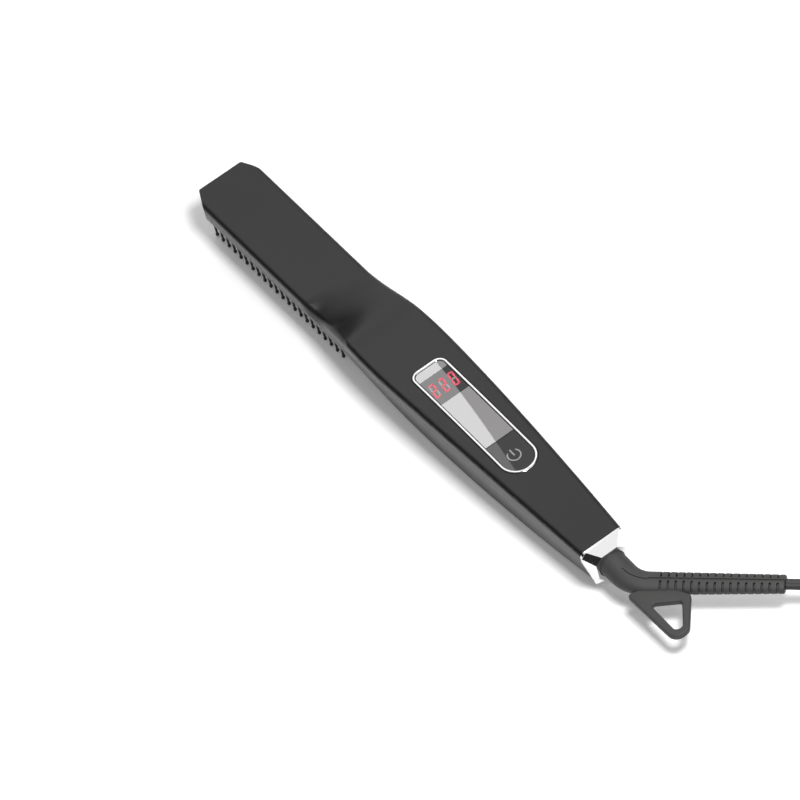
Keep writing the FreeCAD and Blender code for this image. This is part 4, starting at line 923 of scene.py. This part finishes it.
# corners from the ring's mouth, in millimetres, each with its radius
LOOP_OUTLINE = [(18.6, -6.3, 1.5), (52.3, -6.0, 4.8), (51.8, 2.1, 4.4), (37.5, 13.8, 2.0), (29.5, 10.1, 0.5),
                (20.6, 1.0, 0.5)]
LOOP_HOLE = [(29.4, -2.0, 1.2), (48.5, -2.5, 2.2), (48.3, 1.2, 1.8), (37.6, 8.8, 1.4)]
eye_curve = bpy.data.curves.new("hanging_eye", "CURVE")
eye_curve.dimensions = "2D"
eye_curve.fill_mode = "BOTH"
closed_line(eye_curve, [(*corner, 0) for corner in rounded_corners(LOOP_OUTLINE)])
closed_line(eye_curve, [(*corner, 0) for corner in rounded_corners(LOOP_HOLE)])
eye_curve.offset = -LOOP_ROUND
eye_curve.bevel_depth = LOOP_ROUND
eye_curve.bevel_resolution = 3
eye_curve.extrude = LOOP_THICKNESS / 2 - LOOP_ROUND
hanging_eye = made_mesh("hanging_eye", eye_curve)
hanging_eye.data.transform(Matrix.Translation((RING_MOUTH_X, 0, AXIS_Z)))
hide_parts("hang_loop")
dress(hanging_eye, rubber_finish, "swivel")


# ---------------- cord
# Flat twin mains cord, two cores side by side. It leaves the sleeve level, comes down to the
# table, winds into a tied coil of three turns beside each other and four high, and ends in the plug.
CORD_WIDTH, CORD_THICKNESS = 0.0051, 0.0032
# the run down from the sleeve: distances along its way, and heights of the cord's middle
RUN_POINTS = [(0.0003, 0.0154), (0.012, 0.0152), (0.023, 0.0136), (0.034, 0.0124), (0.0475, 0.012175)]
COIL_MID_RADIUS = 0.0264
LAYER_HEIGHT = CORD_THICKNESS + 0.00005
TIE_THICKNESS = 0.0008
coil_outer_radius = COIL_MID_RADIUS + CORD_WIDTH
sleeve_foot = Vector((SLEEVE_END.x, SLEEVE_END.y, 0))
coil_entry = sleeve_foot + cord_out * RUN_POINTS[-1][0]
coil_centre = coil_entry - cord_side * coil_outer_radius

route_points = [sleeve_foot + cord_out * along + Vector((0, 0, z)) for along, z in RUN_POINTS]
STEPS_PER_TURN = 16
start_angle = math.atan2(cord_side.y, cord_side.x)
TURNS = 10 + (start_angle - math.pi / 2) / math.tau
# the columns and layers that the cord winds through, from the top outside to the lowest outside
COIL_PLACES = [(1, 3), (0, 3), (-1, 3), (-1, 2), (0, 2), (1, 2), (1, 1), (0, 1), (-1, 1), (-1, 0), (0, 0), (1, 0)]
LAST_TURN = 0.8
STEP_OVER = 0.133  # share of each turn in which the cord steps over to its next place
turn_each = (TURNS - LAST_TURN) / (len(COIL_PLACES) - 1)
for step in range(1, round(TURNS * STEPS_PER_TURN)):
    turn = step / STEPS_PER_TURN
    index = min(int(turn / turn_each), len(COIL_PLACES) - 1)
    after = min(index + 1, len(COIL_PLACES) - 1)
    share = eased((turn / turn_each - index - 1 + STEP_OVER) / STEP_OVER)
    column, layer = [now + (later - now) * share for now, later in zip(COIL_PLACES[index], COIL_PLACES[after])]
    radius = (COIL_MID_RADIUS + column * CORD_WIDTH) / math.cos(math.pi / STEPS_PER_TURN)
    angle = start_angle - math.tau * turn
    height = TIE_THICKNESS + (layer + 0.5) * LAYER_HEIGHT
    route_points.append(coil_centre + Vector((math.cos(angle) * radius, math.sin(angle) * radius, height)))
PLUG_Z = 0.0065
# the last points before the plug: ahead, aside, and the share of the way up to the plug's middle
TAIL_STEPS = ((0.0, 0.0, 0.0), (0.009, 0.0, 0.0), (0.019, 0.0015, 0.6), (0.0285, 0.005, 1.0))
tail_exit = coil_centre + Vector((0, coil_outer_radius, TIE_THICKNESS + LAYER_HEIGHT / 2))
for ahead, aside, lift in TAIL_STEPS:
    route_points.append(tail_exit + Vector((ahead, -aside, lift * (PLUG_Z - tail_exit.z))))

curve = bpy.data.curves.new("cord_route", "CURVE")
curve.dimensions = "3D"
spline = curve.splines.new("NURBS")
spline.points.add(len(route_points) - 1)
for place, point in zip(spline.points, route_points):
    place.co = (*point, 1)
spline.order_u = 3
spline.use_endpoint_u = True
spline.resolution_u = 4
route = added("cord_route", curve)
bpy.context.view_layer.update()
cord_line = [vertex.co.copy() for vertex in bpy.data.meshes.new_from_object(route).vertices]
bpy.data.objects.remove(route)

# the section: two round cores with a crease between them, above and below
CREASE_DEPTH = 0.0005
CORE_STEPS = 8
core_radius = CORD_THICKNESS / 2
core_middle = (CORD_WIDTH - CORD_THICKNESS) / 2
section = []
for side in (1, -1):
    for step in range(CORE_STEPS + 1):
        around = side * (math.pi * step / CORE_STEPS - math.pi / 2)
        section.append((side * (core_middle + core_radius * abs(math.cos(around))), core_radius * math.sin(around)))
    section.append((0.0, side * (core_radius - CREASE_DEPTH)))
cord_points, cord_faces = [], []
for i, point in enumerate(cord_line):
    ahead = (cord_line[min(i + 1, len(cord_line) - 1)] - cord_line[max(i - 1, 0)]).normalized()
    across = Vector((-ahead.y, ahead.x, 0)).normalized()
    above = ahead.cross(across)
    cord_points += [point + across * a + above * b for a, b in section]
ring_size = len(section)
for i in range(len(cord_line) - 1):
    near, far = i * ring_size, (i + 1) * ring_size
    for k in range(ring_size):
        cord_faces.append((near + k, near + (k + 1) % ring_size, far + (k + 1) % ring_size, far + k))
cord_faces.append(tuple(range(ring_size)))
cord_faces.append(tuple(range((len(cord_line) - 1) * ring_size, len(cord_line) * ring_size)))
cord_mesh = bpy.data.meshes.new("cord")
cord_mesh.from_pydata(cord_points, [], cord_faces)
cord = smoothed(added("cord", cord_mesh), 50)
cord.data.materials.append(rubber("cord_sheath", (0.03, 0.03, 0.03), 0.55).material)
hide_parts("cord_run", "cord_coil", "cord_tail")
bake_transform(cord)


# ---------------- cord tie and plug
# A moulded strap round the coil, and a two-blade plug moulded on the cord in a like dark
# plastic, its drilled blades cut from bright brass.
coil_tie = merged_copy("cord_tie", "coil_tie")
round_edges(coil_tie, width=0.00015)
dress(coil_tie, moulded("tie_plastic", (0.02, 0.02, 0.02), 0.5))
plug_moulding = merged_copy("plug_body", "plug_moulding")
round_edges(plug_moulding, width=0.0012, segments=3)
dress(plug_moulding, moulded("plug_plastic", (0.022, 0.022, 0.022), 0.5))
blades = merged_copy("plug_blades", "blades")
round_edges(blades, width=0.0003)
dress(blades, metal("plug_brass", (0.72, 0.66, 0.5), 0.25, 0.2))


# ---------------- swivel inside the tail
# Black acetal bush and spool, riding in the ring, with two brass slip rings on the spool and
# the sprung contacts that run on them, on a moulded plate.
def finish_nodes(finish, *names):
    """Give CAD nodes their finish through their own material slots."""
    for name in names:
        nodes[name].material_slots[0].material = finish.material


finish_nodes(moulded("bush_plastic", (0.02, 0.02, 0.022), 0.34), "swivel_bush", "swivel_spool")
finish_nodes(metal("contact_brass", (0.7, 0.5, 0.22), 0.28, 0.2), "slip_rings", "contact_springs")


# ---------------- control parts
# The circuit board with its switch, its plunger, the readout's module, the triac and a film
# capacitor, held down by two plated screws.
board = Finish("circuit_board")
tracks = board.node("ShaderNodeTexBrick", {"offset": 0.5}, {
    "Vector": board.place(), "Color1": (0.01, 0.12, 0.035), "Color2": (0.012, 0.14, 0.045),
    "Mortar": (0.03, 0.24, 0.09), "Scale": 380.0, "Mortar Size": 0.03,
})
board.surface({"Base Color": tracks, "Roughness": board.noise(300.0, 3.0) * 0.2 + 0.3})
finish_nodes(board, "main_pcb")
finish_nodes(moulded("switch_body", (0.03, 0.03, 0.032), 0.42), "tact_switch", "contact_plate")
finish_nodes(moulded("plunger_plastic", (0.5, 0.5, 0.48), 0.4), "switch_plunger")
finish_nodes(moulded("led_module_case", (0.75, 0.75, 0.73), 0.45), "display_module")
finish_nodes(moulded("semiconductor_case", (0.018, 0.018, 0.02), 0.38), "triac")
finish_nodes(moulded("capacitor_case", (0.5, 0.36, 0.06), 0.35), "capacitor")
finish_nodes(metal("plated_steel", (0.62, 0.6, 0.55), 0.3, 0.2), "pcb_screws", "housing_screws")


# ---------------- heating parts
# A ceramic heater plate clamped to the fins by a spring, under a mica sheet, with its fuse,
# its thermistor and their insulated leads.
finish_nodes(moulded("heater_ceramic", (0.72, 0.7, 0.64), 0.6), "ptc_heater")
finish_nodes(metal("spring_steel", (0.5, 0.49, 0.47), 0.32, 0.25), "heater_clamp")
mica = Finish("mica_sheet")
flakes = mica.node("ShaderNodeTexVoronoi", {"feature": "F1"}, {"Vector": mica.place(), "Scale": 420.0})
mica.surface({
    "Base Color": mica.mixed(flakes, (0.5, 0.4, 0.26), (0.36, 0.27, 0.16)),
    "Roughness": flakes * 0.2 + 0.28,
})
finish_nodes(mica, "heat_shield")
finish_nodes(metal("fuse_case", (0.66, 0.65, 0.62), 0.3, 0.2), "thermal_fuse")
finish_nodes(moulded("thermistor_glass", (0.45, 0.2, 0.12), 0.12), "thermistor")
finish_nodes(rubber("lead_insulation", (0.62, 0.6, 0.56), 0.5), "heater_leads", "supply_leads")


# ---------------- room
# A plain white floor that stays white where it isn't shaded, a dark studio with three large
# bright diffusers, a soft lamp over the brush and a strip lamp beside it for the window.
bpy.ops.object.select_all(action="DESELECT")
bpy.ops.mesh.primitive_plane_add(size=8)
floor = bpy.context.object
floor.name = "floor"
floor_finish = Finish("floor")
seen_straight = floor_finish.node("ShaderNodeLightPath", {}, {}, "Is Camera Ray")
seen_mirrored = floor_finish.node("ShaderNodeLightPath", {}, {}, "Is Glossy Ray")
seen_through = floor_finish.node("ShaderNodeLightPath", {}, {}, "Is Transmission Ray")
seen = seen_straight + seen_mirrored + seen_through
# beyond the lamp's reach the floor shines by itself, so that it is as white there
away = floor_finish.node("ShaderNodeVectorMath", {"operation": "LENGTH"}, {0: floor_finish.place()}, "Value")
beyond = floor_finish.node("ShaderNodeMapRange", {"interpolation_type": "SMOOTHSTEP"},
                           {"Value": away, "From Min": 0.55, "From Max": 1.1})
floor_finish.surface({
    "Base Color": (0.9, 0.9, 0.9),
    "Roughness": 1.0,
    "Specular IOR Level": 0.0,
    "Emission Color": floor_finish.mixed(beyond * seen_straight, (0.2, 0.2, 0.2), (1.0, 1.0, 1.0)),
    "Emission Strength": seen,
})
floor.data.materials.append(floor_finish.material)

# brightness of the studio against height
STUDIO_STOPS = [(0.0, 0.025), (0.45, 0.025), (0.6, 0.12), (1.0, 0.12)]
# each large diffuser: the way to it, and how near that way it starts and reaches full brightness
DIFFUSERS = [((-0.56, 0.24, 0.79), 0.76, 0.87), ((0.64, 0.28, 0.72), 0.86, 0.9), ((-0.82, 0.38, 0.43), 0.9, 0.955)]
world = bpy.data.worlds.new("studio")
bpy.context.scene.world = world
world.use_nodes = True
studio = Wiring(world.node_tree)
way_out = studio.node("ShaderNodeTexCoord", {}, {}, "Generated")
height = studio.node("ShaderNodeSeparateXYZ", {}, {"Vector": way_out}, "Z")
brightest = studio.node("ShaderNodeValToRGB", {"stops": STUDIO_STOPS}, {"Fac": height})
for way, start, full in DIFFUSERS:
    nearness = studio.node("ShaderNodeVectorMath", {"operation": "DOT_PRODUCT"},
                           {0: way_out, 1: Vector(way).normalized()}, "Value")
    diffuser = studio.node("ShaderNodeValToRGB", {"stops": [(start, 0.0), (full, 1.0)]}, {"Fac": nearness})
    brightest = studio.node("ShaderNodeMath", {"operation": "MAXIMUM"}, {0: brightest, 1: diffuser})
# seen straight on, the studio is as white as the floor
straight_on = studio.node("ShaderNodeLightPath", {}, {}, "Is Camera Ray")
brightest = studio.node("ShaderNodeMath", {"operation": "MAXIMUM"}, {0: brightest, 1: straight_on})
studio.plug(studio.tree.nodes["Background"].inputs["Color"], brightest)


def soft_lamp(name, centre, facing, long_way, width, depth, brightness):
    """A rectangular area lamp of a given radiance, its long side along one way."""
    lamp = bpy.data.lights.new(name, "AREA")
    lamp.shape = "RECTANGLE"
    lamp.size = width
    lamp.size_y = depth
    lamp.energy = math.pi * width * depth * brightness
    back = -facing.normalized()
    over = back.cross(long_way).normalized()
    axes = Matrix((over.cross(back), over, back)).transposed().to_4x4()
    added(name, lamp).matrix_world = Matrix.Translation(centre) @ axes


OVERHEAD_SIZE, OVERHEAD_BRIGHTNESS = 0.26, 62.0
STRIP_WIDTH, STRIP_DEPTH, STRIP_BRIGHTNESS = 0.34, 0.09, 3.2
overhead = Vector((0.6, 0.05, 1.15))
soft_lamp("overhead", overhead, -overhead, Vector((1, 0, 0)), OVERHEAD_SIZE, OVERHEAD_SIZE, OVERHEAD_BRIGHTNESS)
# the strip lamp's long edge is mirrored as a slanting line down the window
strip_start = Vector((-0.8812, 0.4010, 1.1694))
strip_end = Vector((-0.6630, 0.3908, 1.2666))
strip_way = (strip_end - strip_start).normalized()
strip_facing = Vector((0.04, 0, 0.03)) - (strip_start + strip_end) / 2
strip_side = strip_facing.cross(strip_way).normalized()
strip_centre = (strip_start + strip_end) / 2 + strip_side * STRIP_DEPTH / 2
soft_lamp("strip", strip_centre, strip_facing, strip_way, STRIP_WIDTH, STRIP_DEPTH, STRIP_BRIGHTNESS)


# ---------------- camera
# A long lens four metres off, so that near and far parts look the same size. It looks down
# along the brush from above its tail.
CAMERA_DISTANCE = 4.0
PICTURE_WIDTH = 0.336
SENSOR = 36.0
camera_right = Vector((0.57848, 0.79495, -0.18281)).normalized()
camera_back = Vector((0.59565, -0.25857, 0.76049)).normalized()
camera_up = camera_back.cross(camera_right).normalized()
camera_right = camera_up.cross(camera_back)
camera_aim = Vector((0.052986, -0.032962, 0.073522))
camera = added("camera", bpy.data.cameras.new("camera"))
camera.data.sensor_width = SENSOR
camera.data.lens = SENSOR * CAMERA_DISTANCE / PICTURE_WIDTH
camera.data.clip_end = 20
camera_axes = Matrix((camera_right, camera_up, camera_back)).transposed().to_4x4()
camera.matrix_world = Matrix.Translation(camera_aim + camera_back * CAMERA_DISTANCE) @ camera_axes
bpy.context.scene.camera = camera
bpy.context.scene.view_settings.view_transform = "Standard"
